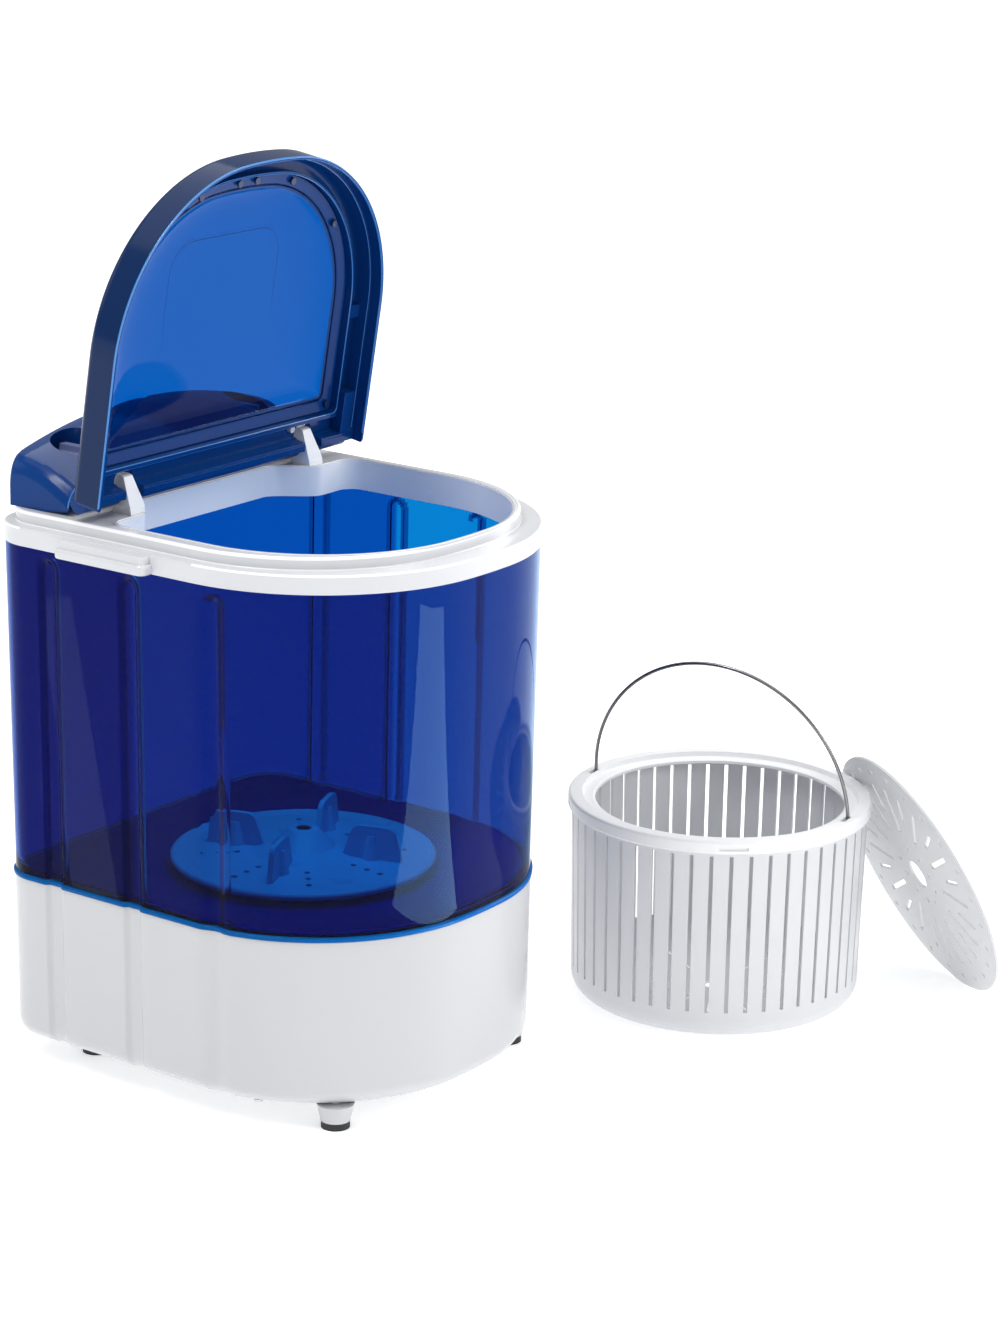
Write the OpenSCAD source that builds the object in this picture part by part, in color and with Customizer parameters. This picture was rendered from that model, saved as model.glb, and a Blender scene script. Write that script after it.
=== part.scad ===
// Portable single-tub washing machine with its lift-out spin basket and cover disc.
// Millimetres, +Z up. The rounded front faces -Y and the control panel stands at +Y.

/* [Body] */
// Width across the flat sides
body_w = 343; // [330:1:360]
// Depth from the bowed front to the flat back
body_d = 368; // [360:1:385]
// Radius of the shallow bow of the front
bow_r = 456; // [380:1:600]
// Radius of the two front corners
corner_r = 154; // [140:1:160]
// Radius of the two back corners
rear_r = 38; // [30:1:45]
// Underside of the base above the floor
base_z = 20; // [16:1:26]
// Seam between base and tub
seam_z = 158; // [152:1:166]
// Lower edge of the top frame
rim_z = 434; // [425:1:450]
// Height of the top frame
rim_h = 25; // [24:1:28]
// How much each side draws in from rim to base
draft = 5; // [2:0.5:7]
// Wall of the base shell
base_wall = 3; // [2.5:0.1:3.5]
// Wall of the clear tub
tub_wall = 3.2; // [2.8:0.1:3.6]

/* [Side flutes] */
// Flutes down each side
flute_n = 3; // [2:1:3]
// Width of a flute
flute_w = 16; // [10:1:20]
// Depth of a flute
flute_t = 3; // [2:0.1:4]
// Distance between flutes
flute_gap = 83; // [70:1:86]
// Place of the rearmost flute behind the middle
flute_y = 119; // [110:1:124]

/* [Mouth] */
// Width of the top frame round the mouth
mouth_in = 24; // [22:1:27]
// Back edge of the mouth ahead of the back
mouth_back = 80; // [76:1:84]
// Step forward of the mouth at each hook
lobe_step = 32; // [24:1:34]
// Distance from the middle to each hook
hook_x = 110; // [104:1:116]

/* [Lid] */
// Width of the lid
lid_w = 328; // [320:2:332]
// Lid edge behind the bowed front
lid_tip = 17; // [14:1:18]
// Radius of the lid's front corners
lid_corner_r = 142; // [130:1:150]
// Hinge axis ahead of the back
hinge_back = 90; // [88:1:92]
// Hinge axis above the deck
hinge_rise = 15; // [15:0.5:17]
// Radius of the hinge pins
pin_r = 3.5; // [3:0.1:4]
// Angle at which the lid stands
lid_open = 81; // [70:1:90]
// Depth of the lid's skirt below the hinge axis
skirt_drop = 24; // [20:1:24]
// Border of the lid round its window
lid_border = 30; // [28:1:34]
// Height of the window's dome
dome_h = 11; // [8:1:12]

/* [Control panel] */
// Length of the control panel
panel_w = 304; // [290:2:310]
// Height of the control panel above the deck
panel_h = 62; // [58:1:66]
// How far the ends of the panel fall below its middle
panel_crown = 24; // [18:1:28]
// Distance from the ends of the control panel to the middle of each knob
knob_in = 48; // [44:1:56]
// Radius of a knob
knob_r = 15; // [13:0.5:16]

/* [Pulsator and drive] */
// Radius of the pulsator
pulsator_r = 108; // [100:1:114]
// Height of the pulsator's fins
fin_h = 27; // [20:1:32]
// Fins on the pulsator
fin_n = 4; // [3:1:6]
// Radius of the drive shaft
shaft_r = 6; // [5:0.5:7]
// Radius of the large pulley
big_pulley_r = 66; // [60:1:70]
// Radius of the motor pulley
small_pulley_r = 13; // [12:1:15]
// Distance from the shaft to the motor
motor_off = 112; // [110:1:114]
// Radius of the motor
motor_r = 44; // [40:1:46]

/* [Basket] */
// Diameter over the basket's rim
basket_d = 258; // [250:1:262]
// Height of the basket
basket_h = 176; // [166:1:186]
// Slots round the basket
slot_n = 48; // [36:4:56]
// Width of a slot
slot_w = 3.2; // [2.4:0.2:4]
// Diameter of the bail's wire
wire_d = 3; // [2.4:0.2:4]
// Diameter of the cover disc
disc_d = 229; // [222:1:232]
// Lean of the cover disc from upright
disc_lean = 24.7; // [22:0.1:28]

/* [Hidden] */
$fn = 64;

// Running gap of pieces that turn or lift off
run_gap = 0.5;
// Radial gap of a pin in its bore
pin_gap = 0.08;

// Body levels and plan
front_y = -body_d / 2;
back_y = body_d / 2;
deck_z = rim_z + rim_h;
ledge_z = deck_z - 10;
base_fillet = 15;
frame_skirt = 2;
tub_step = 0.8;
tub_spigot = frame_skirt + 0.25;
tub_floor_z = seam_z;
tub_floor_t = 4;
tub_foot_z = seam_z - 12;
lip_h = 4;
lip_out = 1.2;
floor_r = 16;
wall_in = tub_step + tub_wall;
bow_n = 6;
corner_n = 14;
rear_n = 6;

// Hinge and lid
hinge_y = back_y - hinge_back;
hinge_z = deck_z + hinge_rise;
barrel_r = 8.5;
hook_r = hinge_rise;
deck_gap = 1.3;
lid_top = 6;
lid_wall = 3;
tier_side = body_w / 2 - lid_w / 2 + lid_wall + run_gap;
tier_tip = lid_tip + lid_wall + run_gap;
hook_w = 17;
notch_w = hook_w + 4;
notch_front = hook_r + 3;
window_t = 2.5;
window_back = 5;
flange_in = 19.4;
dome_y = front_y + lid_tip + 135;
plunger_x = hook_x - 18;
plunger_y = hinge_y - 17;
rib_h = 110;
rib_w = 11;
side_end = 42;
line_h = 0.9;
line_w = 3.2;
line_x = 66;
line_r = 26;
line_front = hinge_y - 192;
line_back = hinge_y - 100;

// Mouth of the top frame
mouth_back_y = back_y - mouth_back;
lobe_y = mouth_back_y - lobe_step;
pocket_r = 14;
swing_x0 = hook_x + 2;
swing_x1 = hook_x - 36;
inner_skirt = 3;

// Grip lugs on the two sides
lug_l = 92;
lug_out = 12;
lug_h = 14;
lug_y = 55;

// Control panel
panel_top_z = deck_z + panel_h;
panel_wall = 3;
panel_end_r = 14;
panel_foot_y = back_y - 45;
panel_edge_y = back_y - 72;
panel_back_y = back_y - 5;
well_r = knob_r + 4;
well_z = deck_z + 29;
knob_x = min(panel_w / 2, body_w / 2 - tier_side - 8.5) - knob_in;
knob_y = back_y - 35;
knob_h = 14;
stem_r = 3;
stem_in = 9;
case_front = 6;

// Back panel of the base
back_w = body_w - 2 * rear_r - 5;
back_z0 = 38;
back_z1 = 104;
back_land = 8;
panel_seat_y = back_y - 5.9;

// Feet and the screws of the bottom plate
foot_x = 114;
foot_y = 125;
screw_y = 0.19 * body_d;
foot_r = 15;
pad_h = 6;

// Drive under the tub
plate_z = 92;
plate_t = 3;
pulley_z = 74;
pulley_h = 12;
housing_r = 26;
housing_flange_r = 40;
pulsator_z = seam_z + 6;
pulsator_t = 6;
stator_h = 34;
bell_h = 12;
motor_clear = 22.24;
motor_a = 180 + acos(min(1, (body_w / 2 - motor_r - motor_clear) / motor_off));
motor_x = motor_off * cos(motor_a);
motor_y = motor_off * sin(motor_a);
rotor_r = 4;
post_r = 8;
post_d = 106;
drain_x = -(body_w / 2 - 63.5);
drain_y = 92;
drain_z = 66;
drain_r = 9;
drain_wall = 2.2;
spigot_l = 26;
drain_flange_r = 19;
drain_hole = 26;
bush_x = body_w / 2 - 76.5;
bush_z = 60;
bush_r = 9;
bush_bore = 3.8;

// Basket, bail and disc, where they stand beside the machine
basket_x = 324;
basket_y = front_y - 8;
basket_r = basket_d / 2;
basket_wall = 2.6;
band_h = 11;
ledge_w = (basket_d - disc_d) / 2 - 1.5;
basket_draft = 3;
slot_low = 24;
slot_top = basket_h - band_h - 3;
bail_a = 96.2;
bail_lean = 8;
bail_r = 119.5;
bail_bend = 2;
ear_z = basket_h - 3;
slot_near = 2.3;
slot_far = 13;
disc_t = 2.4;
disc_r = disc_d / 2;
disc_a = -31.9;
disc_side = -60;
disc_gap = 0.3;
rim_round = 2;
disc_slots = 24;
disc_foot = basket_r + disc_gap + (basket_h - rim_round) * tan(disc_lean);
disc_out = disc_foot - disc_r * sin(disc_lean);
disc_cx = basket_x + disc_out * cos(disc_a) - disc_side * sin(disc_a);
disc_cy = basket_y + disc_out * sin(disc_a) + disc_side * cos(disc_a);
disc_cz = disc_r * cos(disc_lean);

// Middle of the whole set on the floor, so that the origin is the middle of its plan
function rim_reach(ux, uy) = disc_r * sqrt(pow(ux, 2) + pow(uy, 2));
lean_x = sin(disc_lean) * cos(disc_a);
lean_y = sin(disc_lean) * sin(disc_a);
set_x1 = disc_cx + rim_reach(sin(disc_a), lean_x) + disc_t * cos(disc_lean) * cos(disc_a);
set_y0 = disc_cy - rim_reach(cos(disc_a), lean_y) + disc_t * cos(disc_lean) * sin(disc_a);
set_x0 = -body_w / 2 - lug_out;
set_y1 = back_y + spigot_l - 8;
set_cx = (set_x0 + set_x1) / 2;
set_cy = (set_y0 + set_y1) / 2;

BLUE = [0.05, 0.12, 0.62, 0.8];
NAVY = [0.03, 0.08, 0.35];
AZURE = [0.05, 0.3, 0.8, 0.7];
WHITE = [0.93, 0.94, 0.96];
STEEL = [0.72, 0.73, 0.75];
DARK = [0.12, 0.12, 0.13];

// Points along an arc, from angle a0 to a1 in n steps
function arc(cx, cy, r, a0, a1, n) =
    [for (i = [0 : n]) let (a = a0 + (a1 - a0) * i / n) [cx + r * cos(a), cy + r * sin(a)]];

// All but the last entry of a list
function head(v) = [for (i = [0 : len(v) - 2]) v[i]];

// A closed outline from its right half, which starts on the middle line
function mirrored(h) = concat(h, [for (i = [len(h) - 1 : -1 : 1]) [-h[i].x, h[i].y]]);

// Right half of a D plan: bowed front, large front corner, straight side, small back corner
function dee_half(hw, tip, rear, bow, cr, rr, g) =
    let (cx = hw - cr, by = tip + bow)
    let (cy = by - sqrt(pow(bow - cr, 2) - pow(cx, 2)))
    let (a = atan2(cy - by, cx))
    concat(
        head(arc(0, by, bow - g, -90, a, bow_n)),
        arc(cx, cy, cr - g, a, 0, corner_n),
        arc(hw - rr, rear - rr, rr - g, 0, 90, rear_n)
    );

function body_plan(g) =
    mirrored(dee_half(body_w / 2, front_y, back_y, bow_r, corner_r, rear_r, g));

function tier_plan(g) =
    mirrored(dee_half(body_w / 2 - tier_side, front_y + tier_tip, back_y - 6,
        bow_r - 26, lid_corner_r - lid_wall, rear_r - 6, g));

function lid_plan(g, back = 0) =
    mirrored(dee_half(lid_w / 2, front_y + lid_tip, hinge_y - back,
        bow_r - 26, lid_corner_r, 3 + g + back / 3, g));

// Inset of the outer skin at a height
function draft_at(z) = draft * (rim_z - z) / (rim_z - base_z);

// Edge of the mouth: parallel to the body in front, pockets and lobes by the hooks behind
function mouth_plan(g) =
    let (side = body_w / 2 - mouth_in + g)
    let (front = head(dee_half(body_w / 2, front_y, back_y, bow_r, corner_r, rear_r, mouth_in - g)))
    let (arcs = [for (i = [0 : bow_n + corner_n]) front[i]])
    mirrored(concat(
        arcs,
        arc(side - pocket_r - g, lobe_y - pocket_r, pocket_r + g, 0, 90, 5),
        [for (i = [0 : 8]) [
            swing_x0 + (swing_x1 - swing_x0) * i / 8,
            lobe_y + g + lobe_step * (1 - cos(180 * i / 8)) / 2
        ]]
    ));

// Solid through closed rings of points, each running the same way round, with flat quads between them
module skin(rings) {
    n = len(rings[0]);
    m = len(rings);
    polyhedron(
        points = [for (ring = rings, p = ring) p],
        faces = concat(
            [[for (i = [0 : n - 1]) i]],
            [for (k = [0 : m - 2], i = [0 : n - 1])
                [k * n + i, (k + 1) * n + i, (k + 1) * n + (i + 1) % n, k * n + (i + 1) % n]],
            [[for (i = [n - 1 : -1 : 0]) (m - 1) * n + i]]
        ),
        convexity = 8
    );
}

// Solid through a stack of outlines, one for each height
module loft(outlines, zs) {
    skin([for (k = [0 : len(zs) - 1]) [for (p = outlines[k]) [p.x, p.y, zs[k]]]]);
}

// Moves a piece from the middle of the body to the middle of the set
module place() {
    translate([-set_cx, -set_cy, 0]) children();
}

module ring(r_out, r_in, h) {
    difference() {
        cylinder(r = r_out, h = h);
        translate([0, 0, -1]) cylinder(r = r_in, h = h + 2);
    }
}

// Cutters of the flutes down both sides, which follow the draft and grow inwards by a wall
module flutes(z0, z1, grow, rounded) {
    w = flute_w + 2 * grow;
    for (s = [-1, 1], i = [0 : flute_n - 1])
        translate([s * (body_w / 2 - flute_t - grow), flute_y - i * flute_gap, rim_z])
            rotate([0, s * atan(draft / (rim_z - base_z)), 0]) {
                translate([s > 0 ? 0 : -12, -w / 2, z0 - rim_z]) cube([12, w, z1 - z0]);
                if (rounded) translate([s > 0 ? 0 : -12, 0, z1 - rim_z]) rotate([0, 90, 0]) cylinder(r = w / 2, h = 12);
            }
}

// Base and feet

module base_shell() {
    rise = [for (i = [0 : 5]) base_fillet * (1 - cos(18 * i))];
    inset = [for (i = [0 : 6]) base_fillet * (1 - sin(min(18 * i, 90)))];
    inner_r = base_fillet - base_wall;
    zs = concat([for (v = rise) base_z + v], [seam_z]);
    gs = concat([for (i = [0 : 5]) inset[i] + draft_at(zs[i])], [draft_at(seam_z)]);
    place() color(WHITE) difference() {
        union() {
            difference() {
                loft([for (g = gs) body_plan(g)], zs);
                flutes(base_z - 5, seam_z + 5, 0, false);
            }
        }
        difference() {
            loft([for (i = [0 : 6]) body_plan(base_wall + min(inset[i], inner_r) + draft_at(zs[i]))],
                [for (i = [0 : 5]) max(zs[i], base_z + base_wall + 0.1 * i), seam_z + 1]);
            flutes(base_z - 5, seam_z + 5, base_wall, false);
            for (p = back_screw_places()) translate([p.x, panel_seat_y - 12, p.y]) rotate([-90, 0, 0])
                cylinder(r = 4, h = 14);
        }
        translate([-back_w / 2 - 0.3, panel_seat_y, back_z0 - 0.3]) cube([back_w + 0.6, 20, back_z1 - back_z0 + 0.6]);
        translate([-back_w / 2 + back_land, panel_seat_y - 20, back_z0 + back_land])
            cube([back_w - 2 * back_land, 40, back_z1 - back_z0 - 2 * back_land]);
        for (p = back_screw_places()) translate([p.x, panel_seat_y - 10, p.y]) rotate([-90, 0, 0])
            cylinder(r = 1.5, h = 20);
        translate([0, 0, base_z - 1]) linear_extrude(base_wall + 2) polygon(body_plan(38));
        for (p = foot_places()) translate([p.x, p.y, base_z - 1]) cylinder(r = 4, h = base_wall + 6);
        for (p = plate_screw_places()) translate([p.x, p.y, base_z - 1]) cylinder(r = 1.6, h = base_wall + 2);
    }
}

function back_screw_places() =
    [for (sx = [-1, 1], z = [back_z0 + back_land / 2, back_z1 - back_land / 2])
        [sx * (back_w - back_land) / 2, z]];

// Service panel let into the back of the base, which carries the drain spigot and the cord bush
module back_panel() {
    place() color(WHITE) translate([0, panel_seat_y, 0]) difference() {
        union() {
            translate([-back_w / 2, 0, back_z0]) cube([back_w, 2, back_z1 - back_z0]);
            translate([drain_x, 0, drain_z]) rotate([-90, 0, 0])
                cylinder(r = drain_flange_r + 1.5, h = back_y - 2 - panel_seat_y);
            translate([bush_x, 0, bush_z]) rotate([-90, 0, 0]) cylinder(r = 16, h = back_y - 2 - panel_seat_y);
        }
        translate([drain_x - drain_hole / 2, -1, drain_z - drain_hole / 2]) cube([drain_hole, 10, drain_hole]);
        translate([bush_x, -1, bush_z]) rotate([-90, 0, 0]) cylinder(r = bush_r, h = 10);
        for (p = back_screw_places()) translate([p.x, -1, p.y]) rotate([-90, 0, 0]) cylinder(r = 1.8, h = 5);
    }
}

module back_screws() {
    place() color(STEEL) for (p = back_screw_places()) translate([p.x, panel_seat_y, p.y]) rotate([-90, 0, 0]) {
        translate([0, 0, -9]) cylinder(r = 1.4, h = 12);
        translate([0, 0, 2]) cylinder(r = 3.2, h = 1.6);
    }
}

function foot_places() = [for (sx = [-1, 1], sy = [-1, 1]) [sx * foot_x, sy * foot_y]];

function plate_screw_places() =
    [for (sx = [-1, 1], k = [-1, 0, 1]) [sx * (body_w / 2 - 30), k * screw_y], [-50, back_y - 32], [50, back_y - 32]];

module bottom_plate() {
    place() color(WHITE) difference() {
        translate([0, 0, base_z - 2]) linear_extrude(2) polygon(body_plan(24));
        for (p = foot_places()) translate([p.x, p.y, base_z - 3]) cylinder(r = foot_r + 0.3, h = 4);
        for (p = plate_screw_places()) translate([p.x, p.y, base_z - 3]) cylinder(r = 1.6, h = 4);
        for (i = [-4 : 4]) translate([i * 14 - 3, -60, base_z - 3]) cube([6, 70, 4]);
    }
}

module feet() {
    place() color(WHITE) for (p = foot_places()) translate([p.x, p.y, 0]) {
        translate([0, 0, pad_h]) cylinder(r1 = foot_r - 3, r2 = foot_r, h = base_z - pad_h);
        translate([0, 0, base_z]) cylinder(r = 4, h = base_wall + 3);
    }
}

module foot_pads() {
    place() color(DARK) for (p = foot_places()) translate([p.x, p.y, 0]) cylinder(r = foot_r - 3.5, h = pad_h);
}

module base_screws() {
    place() color(STEEL) for (p = plate_screw_places()) translate([p.x, p.y, base_z - 4]) {
        cylinder(r = 3.6, h = 2);
        cylinder(r = 1.5, h = 11);
    }
}

// Clear tub

function post_places() = [for (a = [35, 105, 145, 255, 325]) [post_d * cos(a), post_d * sin(a)]];

// Clear wall: a spigot in the base, a lip over the seam, a drawn side and a spigot in the top frame
module tub() {
    low = base_wall + 0.3 + draft_at(seam_z);
    lip = draft_at(seam_z) - lip_out;
    top = rim_z - 8 - flute_w / 2;
    place() color(BLUE) difference() {
        loft(
            [for (g = [low, low, lip, lip, tub_step + draft_at(seam_z), tub_step, tub_spigot, tub_spigot]) body_plan(g)],
            [tub_foot_z, seam_z, seam_z, seam_z + lip_h - 1, seam_z + lip_h, rim_z, rim_z, rim_z + 11]
        );
        flutes(seam_z - 0.01, top, 0, true);
        flutes(tub_foot_z - 5, seam_z, base_wall + 0.3, false);
        difference() {
            loft(
                [for (g = [low + tub_wall, low + tub_wall, wall_in + draft_at(seam_z), wall_in, wall_in]) body_plan(g)],
                [tub_foot_z - 1, seam_z, seam_z, rim_z, rim_z + 12]
            );
            flutes(seam_z - 0.01, top, tub_wall, true);
            flutes(tub_foot_z - 5, seam_z, low - draft_at(seam_z) + tub_wall, false);
        }
    }
}

// Floor of the tub: a plate with a rounded edge, posts for the drive plate, a seat for the housing and a drain
module tub_floor() {
    low = base_wall + 0.3 + draft_at(seam_z) + tub_wall;
    edge = wall_in + draft_at(seam_z);
    place() color(BLUE) difference() {
        union() {
            difference() {
                loft([for (g = [low, low, edge, edge]) body_plan(g)], [seam_z - tub_floor_t, seam_z, seam_z, seam_z + floor_r]);
                loft([for (i = [0 : 5]) body_plan(edge + 0.6 + floor_r * (1 - sin(min(22.5 * i, 90))))],
                    [for (i = [0 : 5]) seam_z + floor_r * (1 - cos(min(22.5 * i, 90))) + max(0, i - 4) * 3]);
            }
            for (p = post_places()) translate([p.x, p.y, plate_z + plate_t])
                cylinder(r = post_r, h = seam_z - 1 - plate_z - plate_t);
            translate([drain_x, drain_y, tub_foot_z - 16]) cylinder(r = drain_r + 5, h = seam_z - 1 - tub_foot_z + 16);
            translate([0, 0, tub_foot_z]) cylinder(r = housing_flange_r + 5, h = seam_z - 1 - tub_foot_z);
            translate([0, 0, seam_z - 1]) cylinder(r1 = 52, r2 = 46, h = 4);
        }
        flutes(tub_foot_z - 5, rim_z, tub_wall + 0.02, false);
        flutes(tub_foot_z - 5, seam_z, base_wall + 0.3 + tub_wall, false);
        translate([0, 0, tub_foot_z - 1]) cylinder(r = housing_r + 0.3, h = 30);
        translate([0, 0, tub_foot_z - 1]) cylinder(r = housing_flange_r + 0.4, h = 5);
        for (p = post_places()) translate([p.x, p.y, plate_z]) cylinder(r = 1.7, h = 25);
        translate([drain_x, drain_y, tub_foot_z - 17]) cylinder(r = drain_r, h = 40);
        translate([drain_x, drain_y, tub_foot_z - 17]) cylinder(r = drain_r + drain_wall + 0.1, h = 13);
    }
}

// Top frame with hooks and grip lugs

module hook() {
    translate([-hook_w / 2, hinge_y, hinge_z]) rotate([90, 0, 90]) linear_extrude(hook_w) difference() {
        union() {
            circle(r = hook_r);
            polygon([[-hook_r, 0], [-hook_r - 2, -hinge_rise - 1], [0, -hinge_rise - 1], [2, -hook_r + 6]]);
        }
        circle(r = pin_r + pin_gap);
        polygon([[0, -pin_r + 0.4], [hook_r + 2, -pin_r - 3], [hook_r + 2, 1], [0, pin_r - 0.4]]);
        translate([2, -hook_r - 1]) square([hook_r + 2, hook_r - 4]);
    }
}

function lug_plan(g) =
    let (r = 6)
    [for (c = [[1, 1, 0], [-1, 1, 90], [-1, -1, 180], [1, -1, 270]], i = [0 : 4])
        [c.x * (lug_out + 4 - r) + (r - g) * cos(c.z + 22.5 * i),
            c.y * (lug_l / 2 - r) + (r - g) * sin(c.z + 22.5 * i)]];

module lug() {
    difference() {
        loft([lug_plan(1.5), lug_plan(0), lug_plan(0), lug_plan(1), lug_plan(3)],
            [rim_z, rim_z + 1.5, rim_z + lug_h - 3, rim_z + lug_h - 1, rim_z + lug_h]);
        loft([lug_plan(2.8), lug_plan(2.8)], [rim_z - 1, rim_z + lug_h - 3]);
    }
}

module top_frame() {
    place() color(WHITE) difference() {
        union() {
            loft(
                [body_plan(0), body_plan(0), body_plan(0.4), body_plan(1.4), tier_plan(0), tier_plan(0),
                    tier_plan(0.6), tier_plan(2.2)],
                [rim_z, ledge_z - 1.4, ledge_z - 0.4, ledge_z, ledge_z, deck_z - 2.2, deck_z - 0.6, deck_z]
            );
            difference() {
                for (s = [-1, 1]) translate([s * (body_w / 2 - 4), lug_y, 0]) lug();
                translate([0, 0, rim_z - 1]) linear_extrude(rim_h) polygon(body_plan(frame_skirt));
            }
            for (s = [-1, 1]) translate([s * hook_x, 0, 0]) hook();
            translate([0, 0, deck_z - 1]) linear_extrude(1.8) difference() {
                polygon(mouth_plan(3.4));
                polygon(mouth_plan(1.2));
            }
        }
        translate([0, 0, rim_z - 1]) linear_extrude(rim_h + 4) polygon(mouth_plan(0));
        difference() {
            translate([0, 0, rim_z - 1]) linear_extrude(ledge_z - 3 - rim_z + 1) polygon(body_plan(frame_skirt));
            translate([0, 0, rim_z - 2]) linear_extrude(rim_h) polygon(mouth_plan(inner_skirt));
        }
        difference() {
            translate([0, 0, ledge_z - 4]) linear_extrude(deck_z - 3 - ledge_z + 4) polygon(tier_plan(3));
            translate([0, 0, rim_z - 2]) linear_extrude(rim_h) polygon(mouth_plan(inner_skirt));
        }
        for (p = panel_screw_places()) translate([p.x, p.y, rim_z]) cylinder(r = 2, h = rim_h + 1);
        for (s = [-1, 1]) translate([s * knob_x, knob_y, rim_z]) cylinder(r = 9, h = rim_h + 1);
    }
}

// Control panel and its switches

function panel_screw_places() =
    let (far = knob_x + 28)
    [for (x = [-far, -48, 48, far]) [x, back_y - 20]];

// Height of the panel's top line at x, with its crown and its round ends
function panel_line(x, g) =
    let (hw = panel_w / 2 - g, over = max(0, abs(x) - hw + panel_end_r))
    panel_top_z - g - panel_crown * pow(x / (panel_w / 2), 2)
        - panel_end_r + sqrt(max(0, pow(panel_end_r, 2) - pow(over, 2)));

// Back line of the panel in plan, which follows the back corners of the body
function panel_rear(x, g) =
    let (r = rear_r - 5, cx = body_w / 2 - rear_r, over = max(0, abs(x) - cx))
    back_y - rear_r + sqrt(max(1, pow(r, 2) - pow(over, 2))) - g;

// Cross-section of the panel at x: scooped front, rounded lip, rising top, round back edge
function panel_section(x, g) =
    let (t = panel_line(x, g), r = panel_rear(x, g), e = panel_edge_y + 3 * g, f = panel_foot_y + g)
    let (lip = max(t - 22 + 1.2 * g, deck_z + 4), low = deck_z + (g > 0 ? -1 : 0))
    concat(
        [for (i = [0 : 7]) let (u = i / 7)
            [pow(1 - u, 2) * f + 2 * u * (1 - u) * (f - 1) + u * u * (e + 1),
                pow(1 - u, 2) * low + 2 * u * (1 - u) * (lip - 4) + u * u * (lip - 1)]],
        [[e, lip + 1.2], [e + 1.2, lip + 3]],
        [for (i = [1 : 5]) let (u = i / 6, s = e + 1.2 + (r - 9 - e) * u) [s, lip + 3 + (t - lip - 3) * sin(90 * u)]],
        arc(r - 9, t - 9, 9, 80, 0, 4),
        [[r, low]]
    );

// Loft along X through the panel's cross-sections
module panel_solid(g) {
    hw = panel_w / 2 - g;
    xs = concat(
        [for (i = [0 : 5]) -hw + panel_end_r * (1 - cos(15 * i))],
        [for (i = [1 : 17]) -hw + panel_end_r * (1 - cos(75)) + (2 * hw - 2 * panel_end_r * (1 - cos(75))) * i / 18],
        [for (i = [5 : -1 : 0]) hw - panel_end_r * (1 - cos(15 * i))]
    );
    skin([for (x = xs) let (ring = panel_section(x, g), n = len(ring))
        [for (i = [n - 1 : -1 : 0]) [x, ring[i].x, ring[i].y]]]);
}

module control_panel() {
    place() color(NAVY) difference() {
        union() {
            difference() {
                panel_solid(0);
                panel_solid(panel_wall);
            }
            intersection() {
                panel_solid(0);
                union() {
                    for (s = [-1, 1]) translate([s * knob_x, knob_y, well_z - panel_wall])
                        cylinder(r = well_r + panel_wall, h = 60);
                    for (p = panel_screw_places()) translate([p.x, p.y, deck_z]) {
                        cylinder(r = 5, h = 26);
                        translate([-1.5, 0, 0]) cube([3, 20, 24]);
                    }
                }
            }
        }
        for (s = [-1, 1]) translate([s * knob_x, knob_y, well_z]) cylinder(r = well_r, h = 60);
        for (s = [-1, 1]) translate([s * knob_x, knob_y, deck_z]) cylinder(r = stem_r + 1.2, h = 60);
        for (p = panel_screw_places()) translate([p.x, p.y, deck_z - 1]) cylinder(r = 1.7, h = 20);
    }
}

module panel_screws() {
    place() color(STEEL) for (p = panel_screw_places()) translate([p.x, p.y, rim_z + 17]) {
        cylinder(r = 4, h = 4.9);
        cylinder(r = 1.6, h = 20);
    }
}

// A clockwork or rotary switch under a knob: a case with a bore for the stem, a foot and terminals
module switch_case(w, d, h) {
    z0 = well_z - panel_wall - h;
    translate([0, 0, z0]) difference() {
        union() {
            translate([-w / 2, -case_front, 0]) cube([w, d, h]);
            translate([0, 0, -4]) cylinder(r = 5.5, h = 5);
            for (x = [-1, 0, 1]) translate([x * w / 3 - 2.5, d - case_front - 5, -5]) cube([5, 1, 6]);
        }
        translate([0, 0, h - stem_in - 1]) cylinder(r = stem_r + pin_gap, h = stem_in + 2);
    }
}

module knob_stem() {
    translate([0, 0, well_z - panel_wall - stem_in]) cylinder(r = stem_r, h = panel_wall + stem_in + 2);
}

module timer_switch() {
    place() color([0.8, 0.8, 0.76]) translate([-knob_x, knob_y, 0]) switch_case(40, 27, 20);
}

module selector_switch() {
    place() color([0.8, 0.8, 0.76]) translate([knob_x, knob_y, 0]) switch_case(28, 24, 16);
}

// A knob with a grip bar across its top and a pointer notch
module knob() {
    translate([0, 0, well_z + run_gap]) difference() {
        union() {
            cylinder(r1 = knob_r, r2 = knob_r - 1, h = knob_h * 0.5);
            translate([0, 0, knob_h * 0.5]) cylinder(r1 = knob_r - 1, r2 = knob_r - 3, h = 2);
            intersection() {
                translate([-3.5, -knob_r, 0]) cube([7, 2 * knob_r, knob_h]);
                cylinder(r1 = knob_r, r2 = knob_r - 2.4, h = knob_h);
            }
        }
        translate([-0.8, knob_r - 8, knob_h - 1]) cube([1.6, 10, 3]);
    }
    knob_stem();
}

module timer_knob() {
    place() color(WHITE) translate([-knob_x, knob_y, 0]) knob();
}

module selector_knob() {
    place() color(WHITE) translate([knob_x, knob_y, 0]) knob();
}

// Lid, drawn shut and then raised about its hinge axis

module raised() {
    place() translate([0, hinge_y, hinge_z]) rotate([-lid_open, 0, 0]) translate([0, -hinge_y, -hinge_z]) children();
}

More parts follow.
